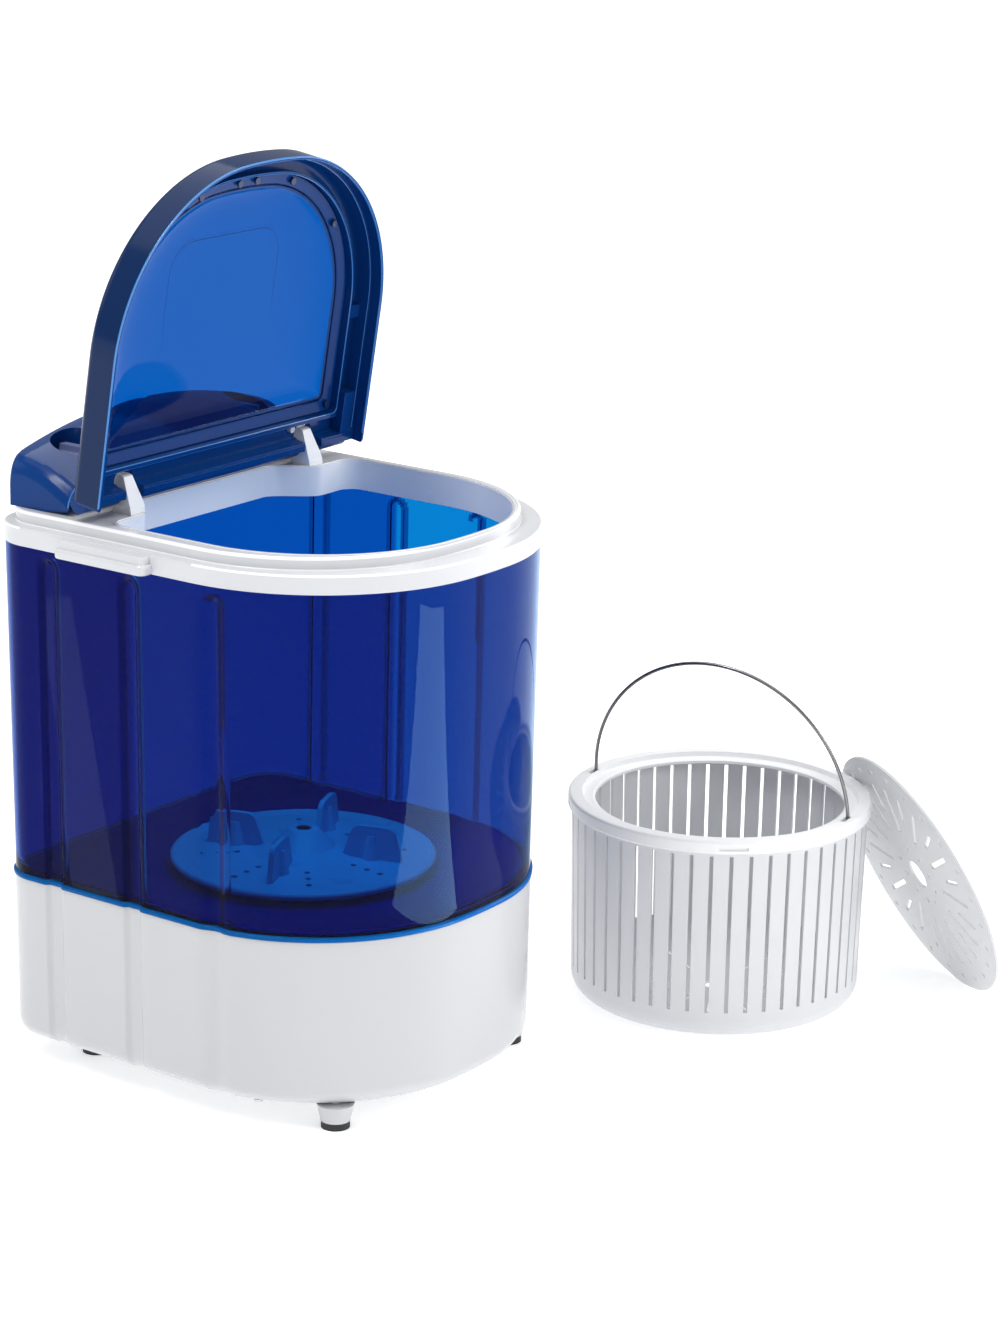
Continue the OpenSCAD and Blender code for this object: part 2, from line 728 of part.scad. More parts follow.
module lid_frame() {
    top = hinge_z + lid_top;
    low = hinge_z - skirt_drop;
    raised() color(NAVY) difference() {
        union() {
            difference() {
                loft([for (g = [0.6, 0, 0.6, 2.2, 5, 9]) lid_plan(g)],
                    [low, low + 1, top - 7, top - 3.4, top - 1, top]);
                loft([for (g = [lid_wall, lid_wall, lid_wall + 2, lid_wall + 2.4, lid_wall + 4, lid_wall + 8]) lid_plan(g, 2)],
                    [low - 1, deck_z + 2, deck_z + 2, top - 9, top - 5, top - 3]);
            }
            difference() {
                translate([0, 0, top - 12]) linear_extrude(11) polygon(lid_plan(17, 3));
                translate([0, 0, top - 13]) linear_extrude(10) polygon(lid_plan(19, 5));
            }
            channel_fill(hinge_y - rib_h - rib_w / 2, rib_w, top - 11, top);
            channel_fill(hinge_y - side_end, side_end - 4, deck_z + 3, top);
            translate([-lid_w / 2 + 4, hinge_y, hinge_z]) rotate([0, 90, 0]) cylinder(r = barrel_r, h = lid_w - 8);
            translate([-lid_w / 2 + 4, hinge_y - 20, top - 6]) cube([lid_w - 8, 20, 5]);
        }
        translate([0, 0, top - 14]) linear_extrude(20) polygon(lid_plan(lid_border, window_back));
        translate([-lid_w / 2 + lid_wall, hinge_y - barrel_r, low - 1])
            cube([lid_w - 2 * lid_wall, 2 * barrel_r, deck_z + deck_gap - low + 1]);
        for (s = [-1, 1]) translate([s * hook_x, hinge_y, hinge_z]) {
            translate([-notch_w / 2, -notch_front, -60]) cube([notch_w, notch_front + 30, 90]);
            rotate([0, 90, 0]) translate([0, 0, -notch_w / 2 - 9]) cylinder(r = pin_r, h = notch_w + 18);
        }
        for (p = lid_screw_places()) translate([p.x, p.y, top - 9]) cylinder(r = 1.2, h = 7.5);
        translate([plunger_x, plunger_y, top - 20]) cylinder(r = 3, h = 17);
        translate([plunger_x, plunger_y, top - 4]) cylinder(r = 1.7, h = 3);
    }
}

// Fills the channel of the lid frame on both sides between two places along it
module channel_fill(y, length, z, top) {
    intersection() {
        translate([0, 0, z]) linear_extrude(top - 2 - z) difference() {
            polygon(lid_plan(2, 3));
            polygon(lid_plan(18, 3));
        }
        for (s = [-1, 1]) translate([s * (lid_w / 2 - 10) - 10, y, z - 1]) cube([20, length, top - z]);
    }
}

function lid_screw_places() =
    let (p = lid_plan(24.5, window_back), n = len(p))
    [for (i = [2, 8, 14, 24, n - 24, n - 14, n - 8, n - 2]) p[i]];

// Window: a flange under the frame, a dome drawn in ring by ring, and a raised U line on it

// Outline of the dome drawn in towards its middle by the factor f
function dome_outline(f) =
    [for (p = lid_plan(lid_border + 0.4, window_back)) [p.x * f, dome_y + (p.y - dome_y) * f]];

// Height of the dome above its flange at the factor f
function dome_rise(f) = dome_h * sqrt(max(0, 1 - pow(f, 5)));

function dome_ring(f, z) = [for (p = dome_outline(f)) [p.x, p.y, z + dome_rise(f)]];

function flange_ring(z) = [for (p = lid_plan(flange_in, window_back)) [p.x, p.y, z]];

module lid_window() {
    seat = hinge_z + lid_top - 3;
    steps = [1, 0.992, 0.97, 0.93, 0.87, 0.79, 0.69, 0.56, 0.4, 0.2];
    raised() color(AZURE) difference() {
        union() {
            skin(concat(
                [for (i = [len(steps) - 1 : -1 : 0]) dome_ring(steps[i] * 0.98, seat - window_t)],
                [flange_ring(seat - window_t), flange_ring(seat)],
                [for (f = steps) dome_ring(f, seat)]
            ));
            dome_line(seat + dome_h);
        }
        for (p = lid_screw_places()) translate([p.x, p.y, seat - 9]) cylinder(r = 1.7, h = 12);
    }
}

// Outline of the raised U line at a distance from its centre line: two legs and rounded corners
function line_path(d) =
    concat([[-line_x - d, line_back]], arc(-line_x + line_r, line_front + line_r, line_r + d, 180, 270, 6),
        arc(line_x - line_r, line_front + line_r, line_r + d, 270, 360, 6), [[line_x + d, line_back]]);

module dome_line(z) {
    inner = line_path(-line_w / 2);
    translate([0, 0, z - 1.6]) linear_extrude(1.6 + line_h)
        polygon(concat(line_path(line_w / 2), [for (i = [len(inner) - 1 : -1 : 0]) inner[i]]));
}

module lid_pins() {
    raised() color(STEEL) for (s = [-1, 1]) translate([s * hook_x, hinge_y, hinge_z]) rotate([0, 90, 0])
        translate([0, 0, -notch_w / 2 - 9]) cylinder(r = pin_r, h = notch_w + 18);
}

module lid_screws() {
    top = hinge_z + lid_top;
    raised() color(STEEL) for (p = lid_screw_places()) translate([p.x, p.y, 0]) {
        translate([0, 0, top - 3 - window_t - 1.8]) cylinder(r = 3, h = 1.8);
        translate([0, 0, top - 3 - window_t]) cylinder(r = 1.2, h = window_t + 1.4);
    }
}

module lid_plunger() {
    top = hinge_z + lid_top;
    raised() color(WHITE) translate([plunger_x, plunger_y, top]) {
        translate([0, 0, -10]) cylinder(r = 2.8, h = 7);
        translate([0, 0, -4]) cylinder(r = 1.5, h = 2.8);
    }
}

// Pulsator and its drive

module pulsator() {
    place() color(BLUE) translate([0, 0, pulsator_z]) difference() {
        union() {
            rotate_extrude() polygon(concat(
                [[0, 0], [pulsator_r - 3, 0]],
                arc(pulsator_r - 3, 3, 3, -60, 90, 4),
                [[pulsator_r - 14, pulsator_t - 1.5], [40, pulsator_t], [26, pulsator_t + 5], [17, 20], [12, 25], [0, 26]]
            ));
            translate([0, 0, -5]) cylinder(r = 16, h = 6);
            for (i = [0 : fin_n - 1]) rotate([0, 0, 20 + i * 360 / fin_n]) fin();
        }
        translate([0, 0, -6]) cylinder(r = shaft_r, h = 22);
        translate([0, 0, 15]) cylinder(r = 2.6, h = 20);
        translate([0, 0, 21]) cylinder(r = 6.5, h = 10);
        for (i = [0 : 7]) rotate([0, 0, 42 + 45 * i]) for (r = [54, 68, 82])
            translate([r, 0, -1]) cylinder(r = 2.5, h = pulsator_t + 8);
    }
}

// An upright fin that bends round the hub and leans at its ends
module fin() {
    translate([58, 0, pulsator_t - 3]) rotate([90, 0, 0]) translate([0, 0, -2.2]) linear_extrude(4.4)
        polygon(concat([[26, 0], [-26, 0]], arc(-9, fin_h - 6, 9, 170, 90, 4), arc(12, fin_h - 5, 8, 90, 10, 4)));
    translate([58, 0, pulsator_t - 2]) cylinder(r1 = 8, r2 = 4, h = fin_h - 6);
}

module pulsator_screw() {
    place() color(STEEL) translate([0, 0, pulsator_z]) {
        translate([0, 0, 21]) cylinder(r = 5.4, h = 4);
        translate([0, 0, 10]) cylinder(r = 2.4, h = 12);
    }
}

module drive_shaft() {
    z0 = pulley_z - 6;
    place() color(STEEL) difference() {
        translate([0, 0, z0]) cylinder(r = shaft_r, h = pulsator_z + 16 - z0);
        translate([0, 0, pulsator_z + 8]) cylinder(r = 2.4, h = 12);
    }
}

// Grooved wheel on a hub, with round lightening holes
module pulley(r, hub_r, bore, holes) {
    difference() {
        rotate_extrude() polygon([
            [bore, 0], [r, 0], [r, 2], [r - 5, 4.5], [r - 5, pulley_h - 4.5], [r, pulley_h - 2], [r, pulley_h],
            [bore, pulley_h]
        ]);
        if (holes > 0) {
            translate([0, 0, pulley_h - 4]) ring(r - 10, hub_r, 5);
            translate([0, 0, -1]) ring(r - 10, hub_r, 5);
            for (i = [0 : holes - 1]) rotate([0, 0, i * 360 / holes])
                translate([(r - 10 + hub_r) / 2, 0, -1]) cylinder(r = (r - 10 - hub_r) / 2 - 4, h = pulley_h + 2);
        }
    }
}

module large_pulley() {
    place() color([0.25, 0.25, 0.27]) translate([0, 0, pulley_z]) pulley(big_pulley_r, 16, shaft_r, 6);
}

module bearing_housing() {
    z0 = plate_z - 4;
    place() color(STEEL) difference() {
        union() {
            translate([0, 0, z0]) cylinder(r = housing_r - 6, h = tub_floor_z - z0);
            translate([0, 0, tub_foot_z]) cylinder(r = housing_flange_r, h = 4);
            translate([0, 0, tub_foot_z]) cylinder(r = housing_r, h = tub_floor_z - tub_foot_z);
            for (i = [0 : 3]) rotate([0, 0, 45 + 90 * i]) translate([housing_r - 8, -2, plate_z + plate_t])
                cube([12, 4, tub_foot_z - plate_z - plate_t + 1]);
        }
        translate([0, 0, z0 - 1]) cylinder(r = shaft_r + pin_gap, h = 100);
        translate([0, 0, tub_floor_z - 7]) cylinder(r = 14, h = 8);
    }
}

module shaft_seal() {
    place() color(DARK) translate([0, 0, tub_floor_z - 7]) ring(14, shaft_r + 0.3, 7);
}

module drive_plate() {
    place() color(STEEL) difference() {
        union() {
            translate([0, 0, plate_z]) cylinder(r = post_d + 12, h = plate_t);
            translate([motor_x, motor_y, plate_z]) cylinder(r = motor_r + 2, h = plate_t);
        }
        translate([0, 0, plate_z - 1]) cylinder(r = housing_r - 5.8, h = 5);
        translate([motor_x, motor_y, plate_z - 1]) cylinder(r = 12, h = 5);
        for (p = post_places()) translate([p.x, p.y, plate_z - 1]) cylinder(r = 2.6, h = 5);
        for (a = [70, 180, 290]) rotate([0, 0, a]) translate([66, 0, plate_z - 1]) cylinder(r = 17, h = 5);
        translate([0, 0, plate_z - 1]) for (a = [0, 120, 240])
            translate([motor_x + 34 * cos(a), motor_y + 34 * sin(a), 0]) cylinder(r = 2.2, h = 5);
    }
}

module plate_screws() {
    place() color(STEEL) {
        for (p = post_places()) translate([p.x, p.y, plate_z]) {
            translate([0, 0, -3]) cylinder(r = 5, h = 3);
            cylinder(r = 1.6, h = 18);
        }
        for (a = [0, 120, 240]) translate([motor_x + 34 * cos(a), motor_y + 34 * sin(a), plate_z]) {
            translate([0, 0, -3]) cylinder(r = 4, h = 3);
            cylinder(r = 2, h = plate_t + 6);
        }
    }
}

module motor_stator() {
    z0 = plate_z + plate_t + bell_h;
    place() color([0.45, 0.46, 0.48]) translate([motor_x, motor_y, z0]) difference() {
        cylinder(r = motor_r, h = stator_h);
        translate([0, 0, -1]) cylinder(r = 23, h = stator_h + 2);
        for (i = [0 : 11]) rotate([0, 0, 30 * i]) translate([motor_r - 1.5, -2, -1]) cube([5, 4, stator_h + 2]);
    }
}

module motor_end_bells() {
    z0 = plate_z + plate_t;
    place() color([0.7, 0.71, 0.72]) translate([motor_x, motor_y, 0]) difference() {
        union() {
            translate([0, 0, z0]) cylinder(r = motor_r - 4, h = bell_h);
            translate([0, 0, z0 + bell_h + stator_h]) cylinder(r1 = motor_r - 4, r2 = motor_r - 12, h = bell_h - 8);
        }
        translate([0, 0, z0 - 1]) cylinder(r = rotor_r + pin_gap, h = 70);
        translate([0, 0, z0 + 6]) cylinder(r = 24, h = stator_h + bell_h - 4);
        for (a = [0, 120, 240]) translate([34 * cos(a), 34 * sin(a), z0 - 1]) cylinder(r = 2, h = 8);
    }
}

module motor_rotor() {
    z0 = plate_z + plate_t + bell_h;
    place() color([0.6, 0.6, 0.62]) translate([motor_x, motor_y, 0]) {
        translate([0, 0, z0]) cylinder(r = 22, h = stator_h);
        translate([0, 0, pulley_z - 3]) cylinder(r = rotor_r, h = z0 + stator_h + 6 - pulley_z);
    }
}

module motor_pulley() {
    place() color([0.25, 0.25, 0.27]) translate([motor_x, motor_y, pulley_z]) pulley(small_pulley_r, 0, rotor_r, 0);
}

// Belt round both pulleys: two tangent runs and two arcs, as one outline
function belt_line(d) =
    let (rb = big_pulley_r - 4.4 + d, rs = small_pulley_r - 4.4 + d)
    let (t = acos((rb - rs) / motor_off))
    concat(arc(0, 0, rb, t, 360 - t, 40), arc(motor_off, 0, rs, -t, t, 14));

module drive_belt() {
    place() color(DARK) rotate([0, 0, motor_a]) translate([0, 0, pulley_z + pulley_h / 2 - 1.4])
        linear_extrude(2.8) difference() {
            polygon(belt_line(3.6));
            polygon(belt_line(0));
        }
}

module capacitor() {
    place() color([0.85, 0.85, 0.87]) translate([104, -6, base_z + base_wall + 2]) difference() {
        union() {
            cylinder(r = 17, h = 46);
            translate([-6, -4, 46]) cube([3, 1, 7]);
            translate([4, -4, 46]) cube([3, 1, 7]);
        }
        translate([0, 0, 44]) ring(30, 15.5, 4);
    }
    place() color(WHITE) translate([104, -6, base_z + base_wall]) difference() {
        union() {
            translate([-22, -22, 0]) cube([58, 44, 2]);
            cylinder(r = 20, h = 14);
        }
        translate([0, 0, 2]) cylinder(r = 17, h = 20);
    }
}

// Drain pipe: down from the tub to a round elbow and out through the back as a barbed spigot
module pipe_run(r, knuckle, extra) {
    translate([drain_x, drain_y, drain_z]) {
        cylinder(r = r, h = tub_foot_z - 4 - drain_z + extra);
        rotate([-90, 0, 0]) cylinder(r = r, h = back_y + spigot_l - 8 - drain_y + extra);
        sphere(r = r + knuckle);
    }
}

module drain_pipe() {
    r = drain_r + drain_wall - 0.2;
    place() color(DARK) difference() {
        union() {
            pipe_run(r, 1.6, 0);
            translate([drain_x, back_y - 2, drain_z]) rotate([-90, 0, 0]) cylinder(r = drain_flange_r, h = 3);
        }
        for (i = [0 : 1]) translate([drain_x, back_y + spigot_l - 18 + 5 * i, drain_z]) rotate([-90, 0, 0])
            ring(r + 4, r - 0.8, 3);
        pipe_run(drain_r, 0.8, 1);
    }
}

module cord_bush() {
    place() color(DARK) translate([bush_x, back_y, bush_z]) rotate([-90, 0, 0]) difference() {
        union() {
            translate([0, 0, -12]) cylinder(r = bush_r - 0.1, h = 12);
            translate([0, 0, -2]) cylinder(r = bush_r + 3, h = 3);
            translate([0, 0, 1]) cylinder(r1 = bush_r - 2, r2 = bush_bore + 1.6, h = 14);
        }
        translate([0, 0, -13]) cylinder(r = bush_bore, h = 40);
        for (i = [0 : 2]) translate([0, 0, 4 + 4 * i]) ring(20, bush_bore + 1.7, 1.2);
    }
}

// Spin basket

module at_basket() {
    place() translate([basket_x, basket_y, 0]) children();
}

module basket_body() {
    top = basket_h - band_h;
    ro = basket_r - 3;
    at_basket() color(WHITE) difference() {
        rotate_extrude() polygon(concat(
            [[0, 0]],
            arc(ro - basket_draft - 16, 16, 16, -90, 0, 6),
            [[ro, top], [ro - basket_wall, top]],
            arc(ro - basket_draft - 16, 16, 16 - basket_wall, 0, -90, 6),
            [[0, basket_wall]]
        ));
        for (i = [0 : slot_n - 1]) rotate([0, 0, i * 360 / slot_n])
            translate([ro - 12, -slot_w / 2, slot_low]) cube([20, slot_w, slot_top - slot_low]);
        for (i = [0 : 11]) rotate([0, 0, 30 * i]) translate([34, -2, -1]) cube([58, 4, 5]);
        translate([0, 0, -1]) cylinder(r = 9, h = 5);
    }
}

module basket_rim() {
    z0 = basket_h - band_h;
    ro = basket_r;
    ri = basket_r - ledge_w;
    at_basket() color(WHITE) difference() {
        rotate_extrude() polygon(concat(
            [[ro - 3 - basket_wall, z0], [ro - 1, z0]],
            [[ro, z0 + 1], [ro, basket_h - rim_round], [ro - 1, basket_h - 0.4], [ro - 2.4, basket_h]],
            [[ri + 1.2, basket_h], [ri + 0.6, basket_h - 4], [ri - 8, basket_h - 4]],
            [[ri - 10, basket_h - 5], [ri - 10, basket_h - 7.5], [ro - 3 - basket_wall, basket_h - 7.5]]
        ));
        for (a = [70, 160, 250, 340]) rotate([0, 0, disc_a + a]) translate([ro - 1.6, -12, z0 + 3]) cube([4, 24, 3]);
        rotate([0, 0, bail_a]) for (s = [-1, 1]) {
            translate([s * (bail_r + bail_bend), 0, ear_z]) rotate([0, s * 90, 0])
                cylinder(r = wire_d / 2 + pin_gap, h = 6.4);
            translate([s * (bail_r + 0.2) - 2.1, -slot_near, z0]) cube([4.2, slot_near + slot_far, band_h + 1]);
        }
    }
}

// Wire bail: a half circle whose ends turn out into the rim's two ears
module bail() {
    w = wire_d / 2;
    end_l = 5.6;
    at_basket() color(STEEL) translate([0, 0, ear_z]) rotate([0, 0, bail_a]) rotate([-bail_lean, 0, 0]) {
        translate([0, 0, bail_bend]) rotate([90, 0, 0]) rotate_extrude(angle = 180) translate([bail_r, 0]) circle(r = w);
        for (s = [0, 180]) rotate([0, 0, s]) {
            translate([bail_r + bail_bend, 0, bail_bend]) rotate([90, 0, 0]) rotate([0, 0, 180])
                rotate_extrude(angle = 90) translate([bail_bend, 0]) circle(r = w);
            translate([bail_r + bail_bend, 0, 0]) rotate([0, 90, 0]) cylinder(r = w, h = end_l);
        }
    }
}

// Cover disc, drawn flat and then stood against the basket
module cover_disc() {
    place() translate([disc_cx, disc_cy, disc_cz]) rotate([0, 90 - disc_lean, disc_a]) color(WHITE) difference() {
        cylinder(r = disc_r, h = disc_t);
        translate([0, 0, -1]) cylinder(r = 13, h = disc_t + 2);
        for (i = [0 : disc_slots - 1]) rotate([0, 0, i * 360 / disc_slots]) {
            long = i % 2 == 0 ? 44 : 26;
            translate([disc_r - 26 - long, -2, -1]) cube([long, 4, disc_t + 2]);
            rotate([0, 0, 180 / disc_slots]) translate([disc_r - 12, 0, -1]) cylinder(r = 2.6, h = disc_t + 2);
        }
        for (i = [0 : 9]) rotate([0, 0, 36 * i]) translate([27, 0, -1]) cylinder(r = 2.6, h = disc_t + 2);
    }
}

base_shell();
bottom_plate();
back_panel();
back_screws();
feet();
foot_pads();
tub();
tub_floor();
top_frame();
control_panel();
panel_screws();
timer_switch();
selector_switch();
timer_knob();
selector_knob();
lid_frame();
lid_window();
lid_pins();
lid_screws();
lid_plunger();
pulsator();
pulsator_screw();
drive_shaft();
large_pulley();
bearing_housing();
shaft_seal();
drive_plate();
plate_screws();
motor_stator();
motor_end_bells();
motor_rotor();
motor_pulley();
drive_belt();
capacitor();
drain_pipe();
cord_bush();
base_screws();
basket_body();
basket_rim();
bail();
cover_disc();
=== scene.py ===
# Studio scene of a portable washing machine with its slotted basket and cover disc.
# Shapes are worked out in millimetres from the middle of the machine, then put into the frame in metres.
import bpy
from math import atan2, cos, degrees, hypot, pi, radians, sin, sqrt
from mathutils import Matrix, Vector


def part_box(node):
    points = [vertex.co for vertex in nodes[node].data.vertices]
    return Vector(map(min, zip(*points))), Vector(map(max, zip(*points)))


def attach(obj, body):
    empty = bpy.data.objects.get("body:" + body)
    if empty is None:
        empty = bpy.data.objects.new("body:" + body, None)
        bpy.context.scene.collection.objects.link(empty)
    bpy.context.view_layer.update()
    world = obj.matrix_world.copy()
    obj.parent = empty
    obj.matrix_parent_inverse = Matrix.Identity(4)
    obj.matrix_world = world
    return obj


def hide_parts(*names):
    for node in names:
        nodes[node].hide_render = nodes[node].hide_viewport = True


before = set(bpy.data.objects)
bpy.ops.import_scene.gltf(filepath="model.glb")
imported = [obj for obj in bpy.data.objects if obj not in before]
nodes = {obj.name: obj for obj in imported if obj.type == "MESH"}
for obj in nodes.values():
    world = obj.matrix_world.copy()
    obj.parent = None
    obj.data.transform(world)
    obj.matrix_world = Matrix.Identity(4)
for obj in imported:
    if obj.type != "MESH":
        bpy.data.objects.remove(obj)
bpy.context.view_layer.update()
frame_low, frame_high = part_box("top_frame")
FRAME_MID = (frame_low + frame_high) / 2
MM = 0.001

# Driving dimensions of the machine, in millimetres; LID_OPEN is in degrees
BODY_W, BODY_D = 343.0, 368.0
BOW_R, CORNER_R, REAR_R = 456.0, 154.0, 38.0
BASE_Z, SEAM_Z, RIM_Z, RIM_H = 20.0, 158.0, 434.0, 25.0
DRAFT = 5.0
TUB_WALL, TUB_STEP = 3.2, 0.8
FLUTE_W, FLUTE_T, FLUTE_GAP, FLUTE_Y = 16.0, 3.0, 83.0, 119.0
MOUTH_IN, MOUTH_BACK, LOBE_STEP, HOOK_X = 24.0, 80.0, 32.0, 110.0
LID_W, LID_TIP, LID_CORNER_R = 328.0, 17.0, 142.0
HINGE_BACK, HINGE_RISE, LID_OPEN = 90.0, 15.0, 81.0
LID_BORDER, DOME_H, WINDOW_T = 30.0, 11.0, 2.5
PANEL_W, PANEL_H, PANEL_CROWN, KNOB_X, KNOB_R = 304.0, 62.0, 24.0, 104.0, 15.0

# Dimensions that follow from them, and details
FRONT_Y, BACK_Y = -BODY_D / 2, BODY_D / 2
DECK_Z = RIM_Z + RIM_H
LEDGE_Z = DECK_Z - 10
BASE_ROUND, BASE_WALL, TUB_ROUND, LIP_OUT = 15.0, 3.0, 16.0, 1.2
FLUTES, FLUTE_MIN_X, FLUTE_TOP = 3, 100.0, RIM_Z - 8 - FLUTE_W / 2
HINGE_Y, HINGE_Z = BACK_Y - HINGE_BACK, DECK_Z + HINGE_RISE
LID_WALL, LID_TOP, SKIRT_DROP, LID_BOW_R = 3.0, 6.0, 24.0, BOW_R - 26
BARREL_R, HOOK_R, HOOK_W = 8.5, HINGE_RISE, 17.0
NOTCH_W, NOTCH_FRONT = HOOK_W + 4, HOOK_R + 3
RIB_H, RIB_W, SIDE_END = 110.0, 11.0, 42.0
PIN_R, PIN_PLAY, PLUNGER_R = 3.5, 0.08, 3.0
TIER_SIDE = BODY_W / 2 - LID_W / 2 + LID_WALL + 0.5
TIER_TIP = LID_TIP + LID_WALL + 0.5
FRAME_SKIRT, INNER_SKIRT = 2.0, 3.0
WINDOW_BACK, FLANGE_IN = 5.0, 19.4
LINE_X, LINE_R, LINE_W, LINE_H = 66.0, 26.0, 3.0, 0.9
PLUNGER_X, PLUNGER_BACK = HOOK_X - 18, 17.0
DOME_Y = FRONT_Y + LID_TIP + 135
LOBE_Y, LOBE_RUN, POCKET_R = BACK_Y - MOUTH_BACK - LOBE_STEP, 38.0, 14.0
LUG_L, LUG_OUT, LUG_H, LUG_Y, LUG_R = 92.0, 12.0, 14.0, 55.0, 6.0
KNOB_Y, SWITCH_R, STEM_R = BACK_Y - 35, 9.0, 4.2
WELL_R, WELL_Z, PANEL_WALL = KNOB_R + 4, DECK_Z + 29, 3.0
PANEL_TOP, PANEL_END_R, PANEL_LIP, PANEL_BACK_R = DECK_Z + PANEL_H, 14.0, 22.0, 9.0
PANEL_FOOT_Y, PANEL_EDGE_Y = BACK_Y - 45, BACK_Y - 72
SEAT_Y, BACK_LAND = BACK_Y - 5.9, 8.0
BACK_PANEL_W, BACK_PANEL_Z = BODY_W - 2 * REAR_R - 5, (38.0, 104.0)

# Fineness of the D plans
BOW_STEPS, CORNER_STEPS = 18, 44

# The frame's faces beyond this are its outer skirt
SIDE_X = 150.0


# Outlines

def arc(cx, cy, r, a0, a1, n):
    """n + 1 points of an arc, in degrees."""
    steps = [radians(a0 + (a1 - a0) * i / n) for i in range(n + 1)]
    return [(cx + r * cos(a), cy + r * sin(a)) for a in steps]


def line(p, q, n):
    """n points from p towards q, without q."""
    return [(p[0] + (q[0] - p[0]) * i / n, p[1] + (q[1] - p[1]) * i / n) for i in range(n)]


def mirrored(half):
    """A closed outline from its right half, which starts on the middle line."""
    return half + [(-x, y) for x, y in reversed(half[1:])]


def dee_half(hw, tip, rear, bow, cr, rr, g, side=1, back=1):
    """Right half of a D plan: bowed front, large front corner, straight side, small back corner."""
    cx, by = hw - cr, tip + bow
    cy = by - sqrt((bow - cr) ** 2 - cx ** 2)
    a = degrees(atan2(cy - by, cx))
    front = arc(0, by, bow - g, -90, a, BOW_STEPS)[:-1] + arc(cx, cy, cr - g, a, 0, CORNER_STEPS)
    corner = arc(hw - rr, rear - rr, rr - g, 0, 90, 14)
    flank, rear_edge = line(front[-1], corner[0], side), line(corner[-1], (0, rear - g), back)
    return front[:-1] + flank + corner[:-1] + rear_edge


def body_plan(g, side=1, back=1):
    return mirrored(dee_half(BODY_W / 2, FRONT_Y, BACK_Y, BOW_R, CORNER_R, REAR_R, g, side, back))


def tier_plan(g):
    return mirrored(dee_half(BODY_W / 2 - TIER_SIDE, FRONT_Y + TIER_TIP, BACK_Y - 6,
                             LID_BOW_R, LID_CORNER_R - LID_WALL, REAR_R - 6, g))


def lid_plan(g, back=0):
    return mirrored(dee_half(LID_W / 2, FRONT_Y + LID_TIP, HINGE_Y - back,
                             LID_BOW_R, LID_CORNER_R, 3 + g + back / 3, g, 6, 6))


def mouth_plan(g):
    """Edge of the mouth: parallel to the body in front, pockets and lobes by the hooks behind."""
    side = BODY_W / 2 - MOUTH_IN + g
    whole = dee_half(BODY_W / 2, FRONT_Y, BACK_Y, BOW_R, CORNER_R, REAR_R, MOUTH_IN - g)
    front = whole[:BOW_STEPS + CORNER_STEPS + 1]
    pocket = arc(side - POCKET_R - g, LOBE_Y - POCKET_R, POCKET_R + g, 0, 90, 12)
    swing = [(HOOK_X + 2 - LOBE_RUN * i / 20, LOBE_Y + g + LOBE_STEP * (1 - cos(pi * i / 20)) / 2)
             for i in range(21)]
    return mirrored(front + pocket + swing)


def draft_at(z):
    """How far the sides of base and tub stand in from the body's plan at a height."""
    return DRAFT * (RIM_Z - z) / (RIM_Z - BASE_Z)


# Meshes

def solid(name, points, faces):
    mesh = bpy.data.meshes.new(name)
    mesh.from_pydata(points, [], faces)
    mesh.update()
    piece = bpy.data.objects.new(name, mesh)
    bpy.context.scene.collection.objects.link(piece)
    return piece


def skin(name, rings):
    """Solid through rings of points, with a cap on the first and the last."""
    n, m = len(rings[0]), len(rings)
    points = [p for ring in rings for p in ring]
    faces = []
    for k in range(m - 1):
        for i in range(n):
            a, b = k * n, (k + 1) * n
            faces.append((a + i, a + (i + 1) % n, b + (i + 1) % n, b + i))
    faces += [tuple(range(n - 1, -1, -1)), tuple(range((m - 1) * n, m * n))]
    return solid(name, points, faces)


def loft(name, outlines, heights):
    return skin(name, [[(x, y, z) for x, y in o] for o, z in zip(outlines, heights)])


def prism(name, outline, z0, z1):
    return loft(name, [outline, outline], [z0, z1])


def rod(name, r, z0, z1, x=0, y=0, n=72):
    """Cylinder standing along Z."""
    return prism(name, arc(x, y, r, 0, 360 - 360 / n, n - 1), z0, z1)


def block(name, low, high):
    return prism(name, [(low[0], low[1]), (high[0], low[1]), (high[0], high[1]), (low[0], high[1])],
                 low[2], high[2])


def along_x(piece, x, y, z):
    """Turns a piece that was drawn in (Y, Z) as its plan so that its height runs along X, and moves it."""
    turn = Matrix(((0, 0, 1, x), (1, 0, 0, y), (0, 1, 0, z), (0, 0, 0, 1)))
    piece.data.transform(turn)
    return piece


def combine(target, operation, *others):
    for other in others:
        step = target.modifiers.new("step", "BOOLEAN")
        step.object = other
        step.operation = operation
        step.solver = "MANIFOLD"
    made = bpy.data.meshes.new_from_object(target.evaluated_get(bpy.context.evaluated_depsgraph_get()))
    target.modifiers.clear()
    target.data = made
    for other in others:
        bpy.data.objects.remove(other)
    return target


def cut(target, *others):
    return combine(target, "DIFFERENCE", *others)


def join(target, *others):
    return combine(target, "UNION", *others)


def about_hinge(angle):
    hinge = Matrix.Translation((0, HINGE_Y, HINGE_Z))
    return hinge @ Matrix.Rotation(radians(angle), 4, "X") @ hinge.inverted()


